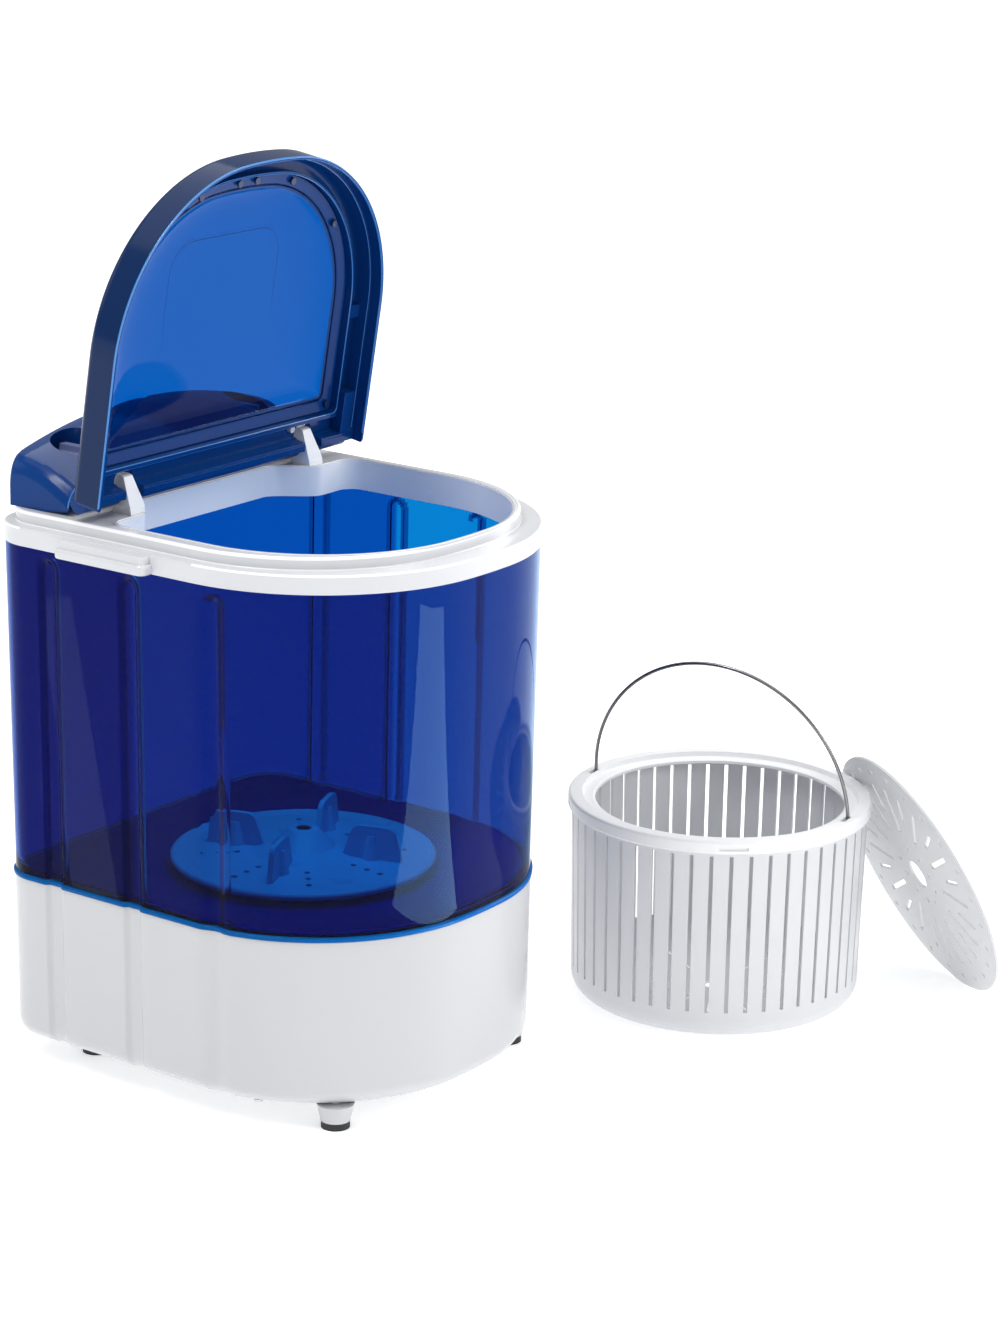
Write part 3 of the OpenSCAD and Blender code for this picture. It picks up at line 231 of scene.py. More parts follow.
def settle(piece, body, material, slot, *replaced, raised=False, angle=32):
    """Puts a finished piece into the frame, in metres, with smooth shading, its body and material; slot is
    not used.
    """
    if raised:
        piece.data.transform(about_hinge(-LID_OPEN))
    piece.data.transform(Matrix.Translation((FRAME_MID.x, FRAME_MID.y, 0)) @ Matrix.Scale(MM, 4))
    piece.data.shade_smooth()
    piece.data.set_sharp_from_angle(angle=radians(angle))
    weighted = piece.modifiers.new("normals", "WEIGHTED_NORMAL")
    weighted.keep_sharp = True
    piece.data.materials.clear()
    piece.data.materials.append(material)
    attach(piece, body)
    if replaced:
        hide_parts(*replaced)
    return piece


def second_finish(piece, material, test, raised=False):
    """Adds a material for the faces that pass a test on their middle and normal, as they were drawn."""
    drawn = Matrix.Scale(1 / MM, 4) @ Matrix.Translation((-FRAME_MID.x, -FRAME_MID.y, 0))
    if raised:
        drawn = about_hinge(LID_OPEN) @ drawn
    turn = drawn.to_3x3()
    piece.data.materials.append(material)
    for face in piece.data.polygons:
        if test(drawn @ face.center, (turn @ face.normal).normalized()):
            face.material_index = len(piece.data.materials) - 1


# Materials

def new_material(name):
    material = bpy.data.materials.new(name)
    material.use_nodes = True
    tree = material.node_tree
    return material, tree, tree.nodes["Principled BSDF"]


def add(tree, kind, **values):
    node = tree.nodes.new(kind)
    for key, value in values.items():
        if key in node.inputs:
            node.inputs[key].default_value = value
        else:
            setattr(node, key, value)
    return node


def ramp(tree, source, target, low, high, start=0.0, end=1.0):
    """Leads a value from one socket to another, with start to end stretched over low to high."""
    span = add(tree, "ShaderNodeMapRange")
    span.inputs["From Min"].default_value = start
    span.inputs["From Max"].default_value = end
    span.inputs["To Min"].default_value = low
    span.inputs["To Max"].default_value = high
    tree.links.new(source, span.inputs["Value"])
    tree.links.new(span.outputs["Result"], target)


def surface_detail(tree, shader, rough, spread, bump, scale, edge):
    """Uneven roughness, fine bump and softly rounded edges."""
    where = add(tree, "ShaderNodeTexCoord").outputs["Object"]
    cloud = add(tree, "ShaderNodeTexNoise", Scale=scale * 0.08, Detail=4.0)
    grain = add(tree, "ShaderNodeTexNoise", Scale=scale, Detail=3.0)
    tree.links.new(where, cloud.inputs["Vector"])
    tree.links.new(where, grain.inputs["Vector"])
    smoothest = max(0.0, rough - spread)
    ramp(tree, cloud.outputs["Fac"], shader.inputs["Roughness"], smoothest, rough + spread, 0.3, 0.7)
    relief = add(tree, "ShaderNodeBump", Strength=bump, Distance=0.0004)
    tree.links.new(grain.outputs["Fac"], relief.inputs["Height"])
    if edge > 0:
        rounded = add(tree, "ShaderNodeBevel", samples=4, Radius=edge)
        tree.links.new(rounded.outputs["Normal"], relief.inputs["Normal"])
    tree.links.new(relief.outputs["Normal"], shader.inputs["Normal"])
    return cloud


def tinted(tree, shader, cloud, color, other):
    """Colour that drifts a little between two tones."""
    mix = add(tree, "ShaderNodeMix", data_type="RGBA")
    mix.inputs["A"].default_value = (*color, 1)
    mix.inputs["B"].default_value = (*other, 1)
    tree.links.new(cloud.outputs["Fac"], mix.inputs["Factor"])
    tree.links.new(mix.outputs["Result"], shader.inputs["Base Color"])


def plastic(name, color, rough=0.3, spread=0.03, bump=0.02, edge=0.0006, coat=0.0, drift=0.02, gloss=0.5):
    material, tree, shader = new_material(name)
    shader.inputs["Specular IOR Level"].default_value = gloss
    cloud = surface_detail(tree, shader, rough, spread, bump, 700, edge)
    tinted(tree, shader, cloud, color, tuple(max(0.0, c * (1 - drift)) for c in color))
    shader.inputs["IOR"].default_value = 1.49
    if coat:
        shader.inputs["Coat Weight"].default_value = coat
        shader.inputs["Coat Roughness"].default_value = 0.04
    return material


def clear_plastic(name, color, rough=0.0, haze=0.0, gloss=0.5):
    """Tinted clear plastic; haze is the share of it that scatters light like a solid colour."""
    material, tree, shader = new_material(name)
    cloud = surface_detail(tree, shader, rough, rough * 0.3, 0.02, 9, 0.0)
    tinted(tree, shader, cloud, color, tuple(c * 0.97 for c in color))
    shader.inputs["Specular IOR Level"].default_value = gloss
    shader.inputs["Transmission Weight"].default_value = 1 - haze
    shader.inputs["IOR"].default_value = 1.15
    return material


def metal(name, color, rough, scale=1200):
    spread = 0.06
    material, tree, shader = new_material(name)
    where = add(tree, "ShaderNodeTexCoord").outputs["Object"]
    grain = add(tree, "ShaderNodeTexNoise", Scale=scale, Detail=3.0)
    tree.links.new(where, grain.inputs["Vector"])
    ramp(tree, grain.outputs["Fac"], shader.inputs["Roughness"], rough - spread, rough + spread)
    tinted(tree, shader, grain, color, tuple(c * 0.92 for c in color))
    shader.inputs["Metallic"].default_value = 1.0
    return material


WHITE = plastic("white_abs", (0.58, 0.59, 0.61), rough=0.22, spread=0.02, coat=0.25, drift=0.006, bump=0.01)
FRAME_WHITE = plastic("frame_abs", (0.67, 0.685, 0.715), rough=0.24, coat=0.35, drift=0.006)
# Near-white on the frame's sloping fillet faces: painted highlight lines along its edges
FRAME_PAINTED_HIGHLIGHT = plastic("frame_abs_painted_highlight", (0.97, 0.97, 0.98), rough=0.16, coat=0.5, drift=0.006)
# Lighter copy of the frame plastic on the mouth's inward walls: painted light over their shade
FRAME_PAINTED_LIGHT = plastic("frame_abs_painted_light", (0.95, 0.955, 0.97), rough=0.3, drift=0.006)
BASKET_WHITE = plastic("basket_pp", (0.7, 0.71, 0.735), rough=0.36, drift=0.008)
RIM_WHITE = plastic("basket_rim_pp", (0.88, 0.885, 0.9), rough=0.36, drift=0.008)
DISC_WHITE = plastic("disc_pp", (0.62, 0.63, 0.65), rough=0.42, bump=0.08)
TUB_BLUE = clear_plastic("tub_clear_blue", (0.0015, 0.15, 0.44))
# Darker copy of the tub's clear blue for its rear part: painted shade
REAR_PAINTED_SHADE = clear_plastic("tub_clear_blue_rear_painted_shade", (0.001, 0.05, 0.3))
# Very dark blue on the flute shoulders: painted shade lines along the flutes
FLUTE_PAINTED_SHADE = clear_plastic("tub_flute_painted_shade", (0.0003, 0.015, 0.13))
# Lighter, hazy blue on the seam lip: painted highlight for the glow along the lip
LIP_PAINTED_HIGHLIGHT = clear_plastic("lip_clear_blue_painted_highlight", (0.002, 0.16, 0.55), rough=0.1, haze=0.6)
# Brightened opaque blue in place of the clear plastic on the tub's floor: painted light
FLOOR_PAINTED_LIGHT = plastic("tub_floor_painted_light", (0.006, 0.03, 0.7), rough=0.4, gloss=0.1)
NAVY = plastic("navy_abs", (0.003, 0.042, 0.2), rough=0.14, edge=0.0008, gloss=0.15)
# Darker copy of the navy for the lid's outer skirt faces: painted shade
NAVY_PAINTED_SHADE = plastic("navy_abs_painted_shade", (0.002, 0.02, 0.085), rough=0.14, edge=0.0008, gloss=0.2)
# Light azure on navy edges: painted highlight lines on the lid's lower edges and the panel's crest
NAVY_PAINTED_HIGHLIGHT = plastic("navy_abs_painted_highlight", (0.06, 0.24, 0.62), rough=0.1, edge=0.0)
NAVY_TOP = plastic("navy_abs_polished", (0.004, 0.045, 0.2), rough=0.1, gloss=0.6)
AZURE = clear_plastic("window_clear_blue", (0.0003, 0.08, 0.37), gloss=0.2)
PULSATOR_BLUE = plastic("pulsator_pp", (0.2, 0.55, 0.85), rough=0.3)
SCREW = plastic("dark_screw", (0.01, 0.03, 0.12), rough=0.2)
KNOB = plastic("knob_abs", (0.16, 0.19, 0.36), rough=0.25)
RUBBER = plastic("black_rubber", (0.03, 0.03, 0.032), rough=0.7, bump=0.2)
BLACK = plastic("black_plastic", (0.035, 0.035, 0.04), rough=0.45)
CASE = plastic("natural_nylon", (0.6, 0.59, 0.54), rough=0.5)
WIRE = metal("bail_wire", (0.26, 0.26, 0.27), rough=0.25)
STEEL = metal("drawn_steel", (0.62, 0.62, 0.63), rough=0.2)
ZINC = metal("zinc_sheet", (0.5, 0.51, 0.52), rough=0.4, scale=300)

FINISH = (
    (WHITE, ("base_shell", "bottom_plate", "feet", "back_panel", "lid_plunger")),
    (FRAME_WHITE, ("top_frame",)),
    (TUB_BLUE, ("tub", "tub_floor")),
    (NAVY, ("lid_frame", "control_panel")),
    (AZURE, ("lid_window",)),
    (PULSATOR_BLUE, ("pulsator",)),
    (KNOB, ("timer_knob", "selector_knob")),
    (SCREW, ("lid_screws",)),
    (STEEL, ("lid_pins", "panel_screws", "base_screws", "back_screws", "plate_screws", "pulsator_screw",
             "drive_shaft", "motor_rotor")),
    (ZINC, ("bearing_housing", "drive_plate", "motor_stator", "motor_end_bells")),
    (RUBBER, ("foot_pads", "shaft_seal", "drive_belt", "cord_bush")),
    (BLACK, ("large_pulley", "motor_pulley", "drain_pipe")),
    (CASE, ("timer_switch", "selector_switch", "capacitor")),
    (BASKET_WHITE, ("basket_body",)),
    (RIM_WHITE, ("basket_rim",)),
    (WIRE, ("bail",)),
    (DISC_WHITE, ("cover_disc",)),
)
for material, names in FINISH:
    for name in names:
        for slot in nodes[name].material_slots:
            slot.material = material


# Base and tub: rings of the body's plan, pressed in at the flutes

def fluted_plan(g):
    """The body's plan with sides fine enough for the flutes."""
    return body_plan(g, side=150, back=6)


def from_flute(y, z):
    """Distance of a point on a side from the middle line of the nearest flute."""
    off = min(abs(y - (FLUTE_Y - i * FLUTE_GAP)) for i in range(FLUTES))
    return hypot(off, max(0.0, z - FLUTE_TOP))


def on_flute_edge(place):
    return abs(place.x) > FLUTE_MIN_X and -2.6 < from_flute(place.y, place.z) - FLUTE_W / 2 < 1.2


def fluted_ring(g, z, grow=0):
    """Ring of the plan at a height; the flutes press it in, with soft shoulders and round tops."""
    ring = []
    for x, y in fluted_plan(g):
        if abs(x) > FLUTE_MIN_X:
            t = min(1, max(0, (FLUTE_W / 2 + grow + 2 - from_flute(y, z)) / 5))
            press = FLUTE_T * t * t * (3 - 2 * t)
            x = x - press if x > 0 else x + press
        ring.append((x, y, z))
    return ring


def make_base():
    turn = [pi / 2 * i / 10 for i in range(11)]
    inside = BASE_ROUND - BASE_WALL
    outer = [(BASE_ROUND * (1 - sin(t)), BASE_Z + BASE_ROUND * (1 - cos(t))) for t in turn]
    outer += [(0, z) for z in (60, 90, 120, 145, SEAM_Z - 1)] + [(0.3, SEAM_Z - 0.3), (1.0, SEAM_Z)]
    inner = [(BASE_WALL, z) for z in (SEAM_Z, 120, 80, 50)]
    inner += [(BASE_WALL + inside * (1 - sin(t)), BASE_Z + BASE_WALL + inside * (1 - cos(t)))
              for t in turn[::-1]]
    shell = skin("base_moulding", [fluted_ring(g + draft_at(z), z) for g, z in outer + inner])
    half, (low, high) = BACK_PANEL_W / 2, BACK_PANEL_Z
    cut(shell, prism("bottom", body_plan(38), BASE_Z - 2, BASE_Z + 5),
        block("land", (-half - 0.3, SEAT_Y, low - 0.3), (half + 0.3, BACK_Y + 5, high + 0.3)))
    cut(shell, block("window", (-half + BACK_LAND, SEAT_Y - 15, low + BACK_LAND),
                     (half - BACK_LAND, SEAT_Y + 5, high - BACK_LAND)))
    settle(shell, "machine", WHITE, "white", "base_shell")


def make_tub():
    seam_draft = draft_at(SEAM_Z)
    low, lip, inside = 3.3 + seam_draft, seam_draft - LIP_OUT, TUB_STEP + TUB_WALL
    outer = [(low, SEAM_Z - 12), (low, SEAM_Z), (lip + 0.5, SEAM_Z), (lip, SEAM_Z + 0.5),
             (lip, SEAM_Z + 2.6), (lip + 0.5, SEAM_Z + 3.3), (TUB_STEP + seam_draft, SEAM_Z + 4)]
    walls = [SEAM_Z + 5, 200, 260, 320, 370, 400] + [FLUTE_TOP - 4 + 2 * i for i in range(11)] + [RIM_Z]
    outer += [(TUB_STEP + draft_at(z), z) for z in walls]
    outer += [(2.25, RIM_Z), (2.25, RIM_Z + 11)]
    inner = [(inside + draft_at(min(z, RIM_Z)), z) for z in [RIM_Z + 11] + walls[::-1][:-1]]
    turn = [pi / 2 * i / 8 for i in range(9)]
    bend = [(inside + seam_draft + TUB_ROUND * (1 - cos(t)), SEAM_Z + TUB_ROUND * (1 - sin(t)))
            for t in turn]
    rings = [fluted_ring(g, z) for g, z in outer]
    rings += [fluted_ring(g, z, TUB_WALL) for g, z in inner + bend]
    plan = fluted_plan(0)
    for r, z in ((52, SEAM_Z), (46, SEAM_Z + 3)):
        rings.append([(r * x / hypot(x, y), r * y / hypot(x, y), z) for x, y in plan])
    tub = settle(skin("tub_moulding", rings), "machine", TUB_BLUE, "tub_blue", "tub", "tub_floor")
    tub.data.materials.append(LIP_PAINTED_HIGHLIGHT)
    tub.data.materials.append(FLOOR_PAINTED_LIGHT)
    # The lip strips get the lighter hazy painted highlight blue
    lip_strips, first_of_floor = range(1, 6), len(outer) + len(inner) + 3
    # The floor strips get the brightened opaque painted light blue
    for face in tub.data.polygons:
        strip = face.index // len(plan)
        if strip in lip_strips:
            face.material_index = 1
        elif strip >= first_of_floor:
            face.material_index = 2
    # The rear part of the tub above the seam gets the darker painted shade copy
    second_finish(tub, REAR_PAINTED_SHADE, lambda c, n: SEAM_Z + 5 < c.z and c.y > FLUTE_Y - FLUTE_GAP)
    # The flute shoulders get the dark painted shade
    second_finish(tub, FLUTE_PAINTED_SHADE, lambda c, n: SEAM_Z + 5 < c.z and on_flute_edge(c))


# Top frame with its hooks and grip lugs

def make_hook(x):
    """Hook for a hinge pin: drawn as a profile in (Y, Z), open in front, narrower towards its top."""
    profile = rod("hook", HOOK_R, 0, HOOK_W)
    join(profile, prism("foot", [(-HOOK_R, 0), (-HOOK_R - 2, -HINGE_RISE - 1), (0, -HINGE_RISE - 1),
                                 (2, -HOOK_R + 6)], 0.001, HOOK_W - 0.001))
    z0, z1 = -1, HOOK_W + 1
    bore = rod("bore", PIN_R + PIN_PLAY, z0, z1)
    throat = prism("throat", [(0, 0.4 - PIN_R), (HOOK_R + 2, -PIN_R - 3), (HOOK_R + 2, 1),
                              (0, PIN_R - 0.4)], z0, z1)
    front = prism("front", [(2, -HOOK_R - 1), (HOOK_R + 4, -HOOK_R - 1), (HOOK_R + 4, -5), (2, -5)], z0, z1)
    lean = prism("lean", [(-HOOK_R - 3, 1 - HOOK_R), (-5.5, HOOK_R + 1), (-HOOK_R - 3, HOOK_R + 1)], z0, z1)
    cut(profile, bore, throat, front, lean)
    for point in profile.data.vertices:
        slim = 1 - 0.4 * min(1, max(0, (point.co.y + 8) / 20))
        point.co.z = HOOK_W / 2 + (point.co.z - HOOK_W / 2) * slim
    return along_x(profile, x - HOOK_W / 2, HINGE_Y, HINGE_Z)


def lug_plan(g, x):
    """Rounded rectangle, g inside the lug's outline."""
    points = []
    for sx, sy, a in ((1, 1, 0), (-1, 1, 90), (-1, -1, 180), (1, -1, 270)):
        points += arc(sx * (LUG_OUT + 4 - LUG_R), sy * (LUG_L / 2 - LUG_R), LUG_R - g, a, a + 90, 8)
    return [(px + x, py + LUG_Y) for px, py in points]


def make_lug(x):
    """Grip lug: an upper pad stands back on a lower one, and the underside is hollow."""
    heights = [(1.5, 0), (0.5, 0.5), (0, 1.5), (0, 5.8), (0.4, 7), (1.3, 7.8), (2.7, 8.1), (3, 9),
               (3, LUG_H - 2), (3.4, LUG_H - 0.9), (4.4, LUG_H)]
    body = loft("lug", [lug_plan(g, x) for g, _ in heights], [RIM_Z + h for _, h in heights])
    hollow = prism("hollow", lug_plan(5.4, x), RIM_Z - 1, RIM_Z + LUG_H - 3)
    return cut(body, hollow)


def on_lug(place):
    return abs(place.x) > BODY_W / 2 - 3 and abs(place.y - LUG_Y) < LUG_L / 2


def on_frame_inside(place, normal):
    """Upright faces that look towards the middle, without those of the outer skirt at the sides."""
    inward = normal.x * place.x + normal.y * place.y < 0
    return inward and abs(normal.z) < 0.2 and abs(place.x) < SIDE_X


def make_top_frame():
    edge = [(0.5, RIM_Z), (0, RIM_Z + 0.5), (0, LEDGE_Z - 1.6), (0.25, LEDGE_Z - 0.8),
            (0.8, LEDGE_Z - 0.25), (1.6, LEDGE_Z)]
    tier = [(-0.8, LEDGE_Z), (-0.2, LEDGE_Z + 0.25), (0, LEDGE_Z + 0.9), (0, DECK_Z - 2.4),
            (0.35, DECK_Z - 1.2), (1.2, DECK_Z - 0.35), (2.4, DECK_Z)]
    body = loft("frame_moulding", [body_plan(g) for g, _ in edge] + [tier_plan(g) for g, _ in tier],
                [z for _, z in edge + tier])
    cavity = prism("cavity", body_plan(FRAME_SKIRT), RIM_Z - 1, LEDGE_Z - 3)
    upper = prism("upper", tier_plan(3), LEDGE_Z - 4, DECK_Z - 3)
    keep = prism("keep", mouth_plan(INNER_SKIRT), RIM_Z - 2, DECK_Z)
    cut(body, cut(join(cavity, upper), keep))
    join(body, make_lug(-BODY_W / 2 + 4), make_lug(BODY_W / 2 - 4), make_hook(-HOOK_X), make_hook(HOOK_X))
    cut(body, prism("fit", body_plan(FRAME_SKIRT + 0.01), RIM_Z - 5, RIM_Z - 0.01))
    bead = loft("bead", [mouth_plan(g) for g in (3.6, 3.4, 2.6)], [DECK_Z - 1, DECK_Z + 0.5, DECK_Z + 0.8])
    cut(bead, loft("bead_in", [mouth_plan(g) for g in (1.2, 1.2)], [DECK_Z - 2, DECK_Z + 2]))
    join(body, bead)
    cut(body, prism("mouth", mouth_plan(0), RIM_Z - 1, DECK_Z + 4))
    for x in (-KNOB_X, KNOB_X):
        cut(body, rod("pass", SWITCH_R, RIM_Z, DECK_Z + 1, x, KNOB_Y))
    settle(body, "machine", FRAME_WHITE, "white", "top_frame")
    # The sloping fillet faces get the near-white painted highlight
    second_finish(body, FRAME_PAINTED_HIGHLIGHT, lambda c, n: 0.2 < abs(n.z) < 0.97 and not on_lug(c))
    # The inward-facing walls of the mouth get the lighter painted light copy
    second_finish(body, FRAME_PAINTED_LIGHT, on_frame_inside)


# Lid, drawn shut and then raised about its hinge

def lid_shell(top, low):
    """Outer form of the lid with the channel under it, which steps in just above the frame's tier."""
    turn = [pi / 2 * i / 10 for i in range(11)]
    outer = [(1.1, low), (0.35, low + 0.35), (0, low + 1.1)]
    outer += [(9 * (1 - cos(t)), top - 8 * (1 - sin(t))) for t in turn]
    step = DECK_Z + 2
    inner = [(1.8, low - 1), (2.2, low), (2.7, low + 0.4), (3, low + 1.2), (3, step - 0.1), (3.4, step),
             (4.4, step), (4.9, step + 0.2), (5, step + 0.7), (5.4, top - 9)]
    inner += [(5.4 + 5.6 * (1 - cos(t)), top - 3 - 6 * (1 - sin(t))) for t in turn[1:]]
    shell = loft("lid_moulding", [lid_plan(g) for g, _ in outer], [z for _, z in outer])
    return cut(shell, loft("channel", [lid_plan(g, 2) for g, _ in inner], [z for _, z in inner]))


def lid_wall(top):
    """Inner wall of the channel, round the window."""
    wall = loft("wall", [lid_plan(g, 3) for g in (17.5, 17.1, 17, 17)],
                [top - 12, top - 11.7, top - 11.3, top - 1])
    return cut(wall, loft("wall_in", [lid_plan(g, 5) for g in (18.5, 18.5, 18.9, 19, 19)],
                          [top - 13, top - 12, top - 11.7, top - 11.3, top]))


def cut_notch(lid, x):
    """Notch in the barrel for a hook, and the hole for its pin."""
    half, r = NOTCH_W / 2, 6
    notch = arc(x - half + r, HINGE_Y - NOTCH_FRONT + r, r, 180, 270, 8)
    notch += arc(x + half - r, HINGE_Y - NOTCH_FRONT + r, r, 270, 360, 8)
    notch += [(x + half, HINGE_Y + 14), (x - half, HINGE_Y + 14)]
    cut(lid, prism("notch", notch, HINGE_Z - 60, HINGE_Z + 30))
    cut(lid, along_x(rod("pin_hole", PIN_R, 0, NOTCH_W + 18), x - half - 9, HINGE_Y, HINGE_Z))


def make_lid_frame():
    top, low, side = HINGE_Z + LID_TOP, HINGE_Z - SKIRT_DROP, LID_W / 2
    lid = lid_shell(top, low)
    join(lid, lid_wall(top))
    for s in (-1, 1):
        x0, x1 = sorted((s * (side - 18), s * (side - LID_WALL - 1)))
        rib_y = HINGE_Y - RIB_H
        join(lid, block("rib", (x0, rib_y - RIB_W / 2, top - 11), (x1, rib_y + RIB_W / 2, top - 2.5)))
        join(lid, block("end", (x0, HINGE_Y - SIDE_END, DECK_Z + 3), (x1, HINGE_Y - 4, top - 2.5)))
    join(lid, along_x(rod("barrel", BARREL_R, 0, LID_W - 8), 4 - side, HINGE_Y, HINGE_Z))
    join(lid, block("bar", (4.5 - side, HINGE_Y - 20.4, top - 6), (side - 4.5, HINGE_Y - 0.5, top - 1)))
    opening = [(LID_BORDER, top - 14), (LID_BORDER, top - 1.4), (LID_BORDER - 0.4, top - 0.5),
               (LID_BORDER - 1.4, top + 0.1)]
    cut(lid, loft("opening", [lid_plan(g, WINDOW_BACK) for g, _ in opening], [z for _, z in opening]))
    cut(lid, block("clear", (LID_WALL - side, HINGE_Y - BARREL_R, low - 1),
                   (side - LID_WALL, HINGE_Y + BARREL_R, DECK_Z + 1.3)))
    for x in (-HOOK_X, HOOK_X):
        cut_notch(lid, x)
    cut(lid, rod("plunger_hole", PLUNGER_R, top - 20, top - 3, PLUNGER_X, HINGE_Y - PLUNGER_BACK))
    settle(lid, "lid", NAVY, "navy", "lid_frame", raised=True)
    rim = mirrored(dee_half(side, FRONT_Y + LID_TIP, HINGE_Y, LID_BOW_R, LID_CORNER_R, 3, 0, 90, 9))

    def on_skirt(place, normal):
        close = min(hypot(place.x - x, place.y - y) for x, y in rim) < 3
        return close and abs(normal.z) < 0.7 and place.y < HINGE_Y - 2

    def on_lower_edge(place, normal):
        return 0.2 < abs(normal.z) < 0.97 and place.z < top - 10 and place.y < HINGE_Y - 12

    # The outer faces of the skirt get the darker painted shade
    second_finish(lid, NAVY_PAINTED_SHADE, on_skirt, raised=True)
    # The lid's sloping lower edges get the light azure painted highlight
    second_finish(lid, NAVY_PAINTED_HIGHLIGHT, on_lower_edge, raised=True)


def dome_outline(f):
    return [(x * f, DOME_Y + (y - DOME_Y) * f) for x, y in lid_plan(LID_BORDER + 0.4, WINDOW_BACK)]


def dome_rise(f):
    """Rise of the dome on the ring whose size is f of the outline's."""
    return DOME_H * sqrt(max(0.0, 1 - f ** 5))


def dome_ring(f, z):
    return [(x, y, z + dome_rise(f)) for x, y in dome_outline(f)]


def dome_at(x, y):
    """Rise of the dome over its flange at a place in plan."""
    edge = dome_outline(1)
    for (ax, ay), (bx, by) in zip(edge, edge[1:] + edge[:1]):
        span = x * (by - ay) - (y - DOME_Y) * (bx - ax)
        reach = ax * (by - ay) - (ay - DOME_Y) * (bx - ax)
        if abs(span) < 1e-9 or reach / span <= 0:
            continue
        k = reach / span
        px, py = x * k, DOME_Y + (y - DOME_Y) * k
        along = (px - ax) * (bx - ax) + (py - ay) * (by - ay)
        if -1e-6 <= along <= (bx - ax) ** 2 + (by - ay) ** 2 + 1e-6:
            return dome_rise(1 / k)
    return DOME_H


def raised_line(z):
    """The raised U line, a flat oval bead that follows the dome."""
    front, back = HINGE_Y - 192, HINGE_Y - 100
    path = line((-LINE_X, back), (-LINE_X, front + LINE_R), 8)
    path += arc(-LINE_X + LINE_R, front + LINE_R, LINE_R, 180, 270, 14)
    path += line((-LINE_X + LINE_R + 3, front), (LINE_X - LINE_R - 3, front), 8)
    path += arc(LINE_X - LINE_R, front + LINE_R, LINE_R, 270, 360, 14)
    path += line((LINE_X, front + LINE_R + 4), (LINE_X, back), 8)
    rings = []
    for i, (x, y) in enumerate(path):
        (ax, ay), (bx, by) = path[max(0, i - 1)], path[min(len(path) - 1, i + 1)]
        size = hypot(bx - ax, by - ay)
        nx, ny = -(by - ay) / size, (bx - ax) / size
        fade = min(1.0, 0.25 + min(i, len(path) - 1 - i) / 5)
        rings.append([(x + nx * LINE_W / 2 * fade * cos(a), y + ny * LINE_W / 2 * fade * cos(a),
                       z + dome_at(x, y) - 0.2 + (LINE_H + 0.2) * fade * sin(a))
                      for a in (2 * pi * j / 12 for j in range(12))])
    return skin("raised_line", rings)


def make_lid_window():
    seat = HINGE_Z + LID_TOP - 3
    steps = [1, 0.998, 0.993, 0.985, 0.973, 0.957, 0.937, 0.912, 0.88, 0.84, 0.79, 0.73, 0.66, 0.58, 0.49,
             0.39, 0.28, 0.16, 0.05]
    under = [dome_ring(f * 0.982, seat - WINDOW_T) for f in steps[::-1]]
    flange = [[(x, y, z) for x, y in lid_plan(FLANGE_IN + g, WINDOW_BACK)]
              for g, z in ((0.5, seat - WINDOW_T), (0, seat - WINDOW_T + 0.5), (0, seat))]
    window = skin("window_moulding", under + flange + [dome_ring(f, seat) for f in steps])
    join(window, raised_line(seat))
    settle(window, "lid", AZURE, "azure", "lid_window", raised=True, angle=50)
    second_finish(window, NAVY, lambda c, n: c.z < seat + 0.2, raised=True)


# Control panel

def panel_line(x, g):
    """Height of the panel's top at x, for a skin that lies g inside the outer one."""
    half = PANEL_W / 2 - g
    over = min(PANEL_END_R, max(0.0, abs(x) - half + PANEL_END_R))
    return (PANEL_TOP - g - PANEL_CROWN * (x / (PANEL_W / 2)) ** 2
            - PANEL_END_R + sqrt(PANEL_END_R ** 2 - over ** 2))


def panel_rear(x, g):
    """Place of the panel's back at x."""
    r, over = REAR_R - 5, max(0.0, abs(x) - BODY_W / 2 + REAR_R)
    return BACK_Y - REAR_R + sqrt(max(1.0, r ** 2 - over ** 2)) - g


def panel_section(x, g):
    """Cross-section in (Y, Z): scooped front, rounded lip, rising top, round back edge."""
    t, r = panel_line(x, g), panel_rear(x, g)
    e, f = PANEL_EDGE_Y + 3 * g, PANEL_FOOT_Y + g
    lip = max(t - PANEL_LIP + 1.2 * g, DECK_Z + 4)
    low = DECK_Z - (1 if g > 0 else 0)
    scoop = [((1 - u) ** 2 * f + 2 * u * (1 - u) * (f - 1) + u * u * (e + 1),
              (1 - u) ** 2 * low + 2 * u * (1 - u) * (lip - 4) + u * u * (lip - 1))
             for u in (i / 20 for i in range(21))]
    edge = [(e + 0.4, lip - 0.1), (e + 0.1, lip + 0.5), (e, lip + 1.2), (e + 0.2, lip + 1.9),
            (e + 0.6, lip + 2.5)]
    crest = [(e + 1.2 + (r - 10.2 - e) * u, lip + 3 + (t - lip - 3) * sin(pi / 2 * u))
             for u in (i / 18 for i in range(18))]
    back = arc(r - PANEL_BACK_R, t - PANEL_BACK_R, PANEL_BACK_R, 80, 0, 12)
    return scoop + edge + crest + back + [(r, low)]


def panel_solid(name, g):
    half = PANEL_W / 2 - g
    ends = [half - PANEL_END_R * (1 - cos(radians(75 * i / 14))) for i in range(15)]
    inner = ends[-1]
    xs = [-x for x in ends] + [-inner + 2 * inner * i / 60 for i in range(1, 60)] + ends[::-1]
    return skin(name, [[(x, y, z) for y, z in panel_section(x, g)[::-1]] for x in xs])


def on_panel_crest(place, normal):
    lip = max(panel_line(place.x, 0) - PANEL_LIP, DECK_Z + 4)
    return abs(place.y - PANEL_EDGE_Y - 0.5) < 0.9 and lip - 0.4 < place.z < lip + 3.2


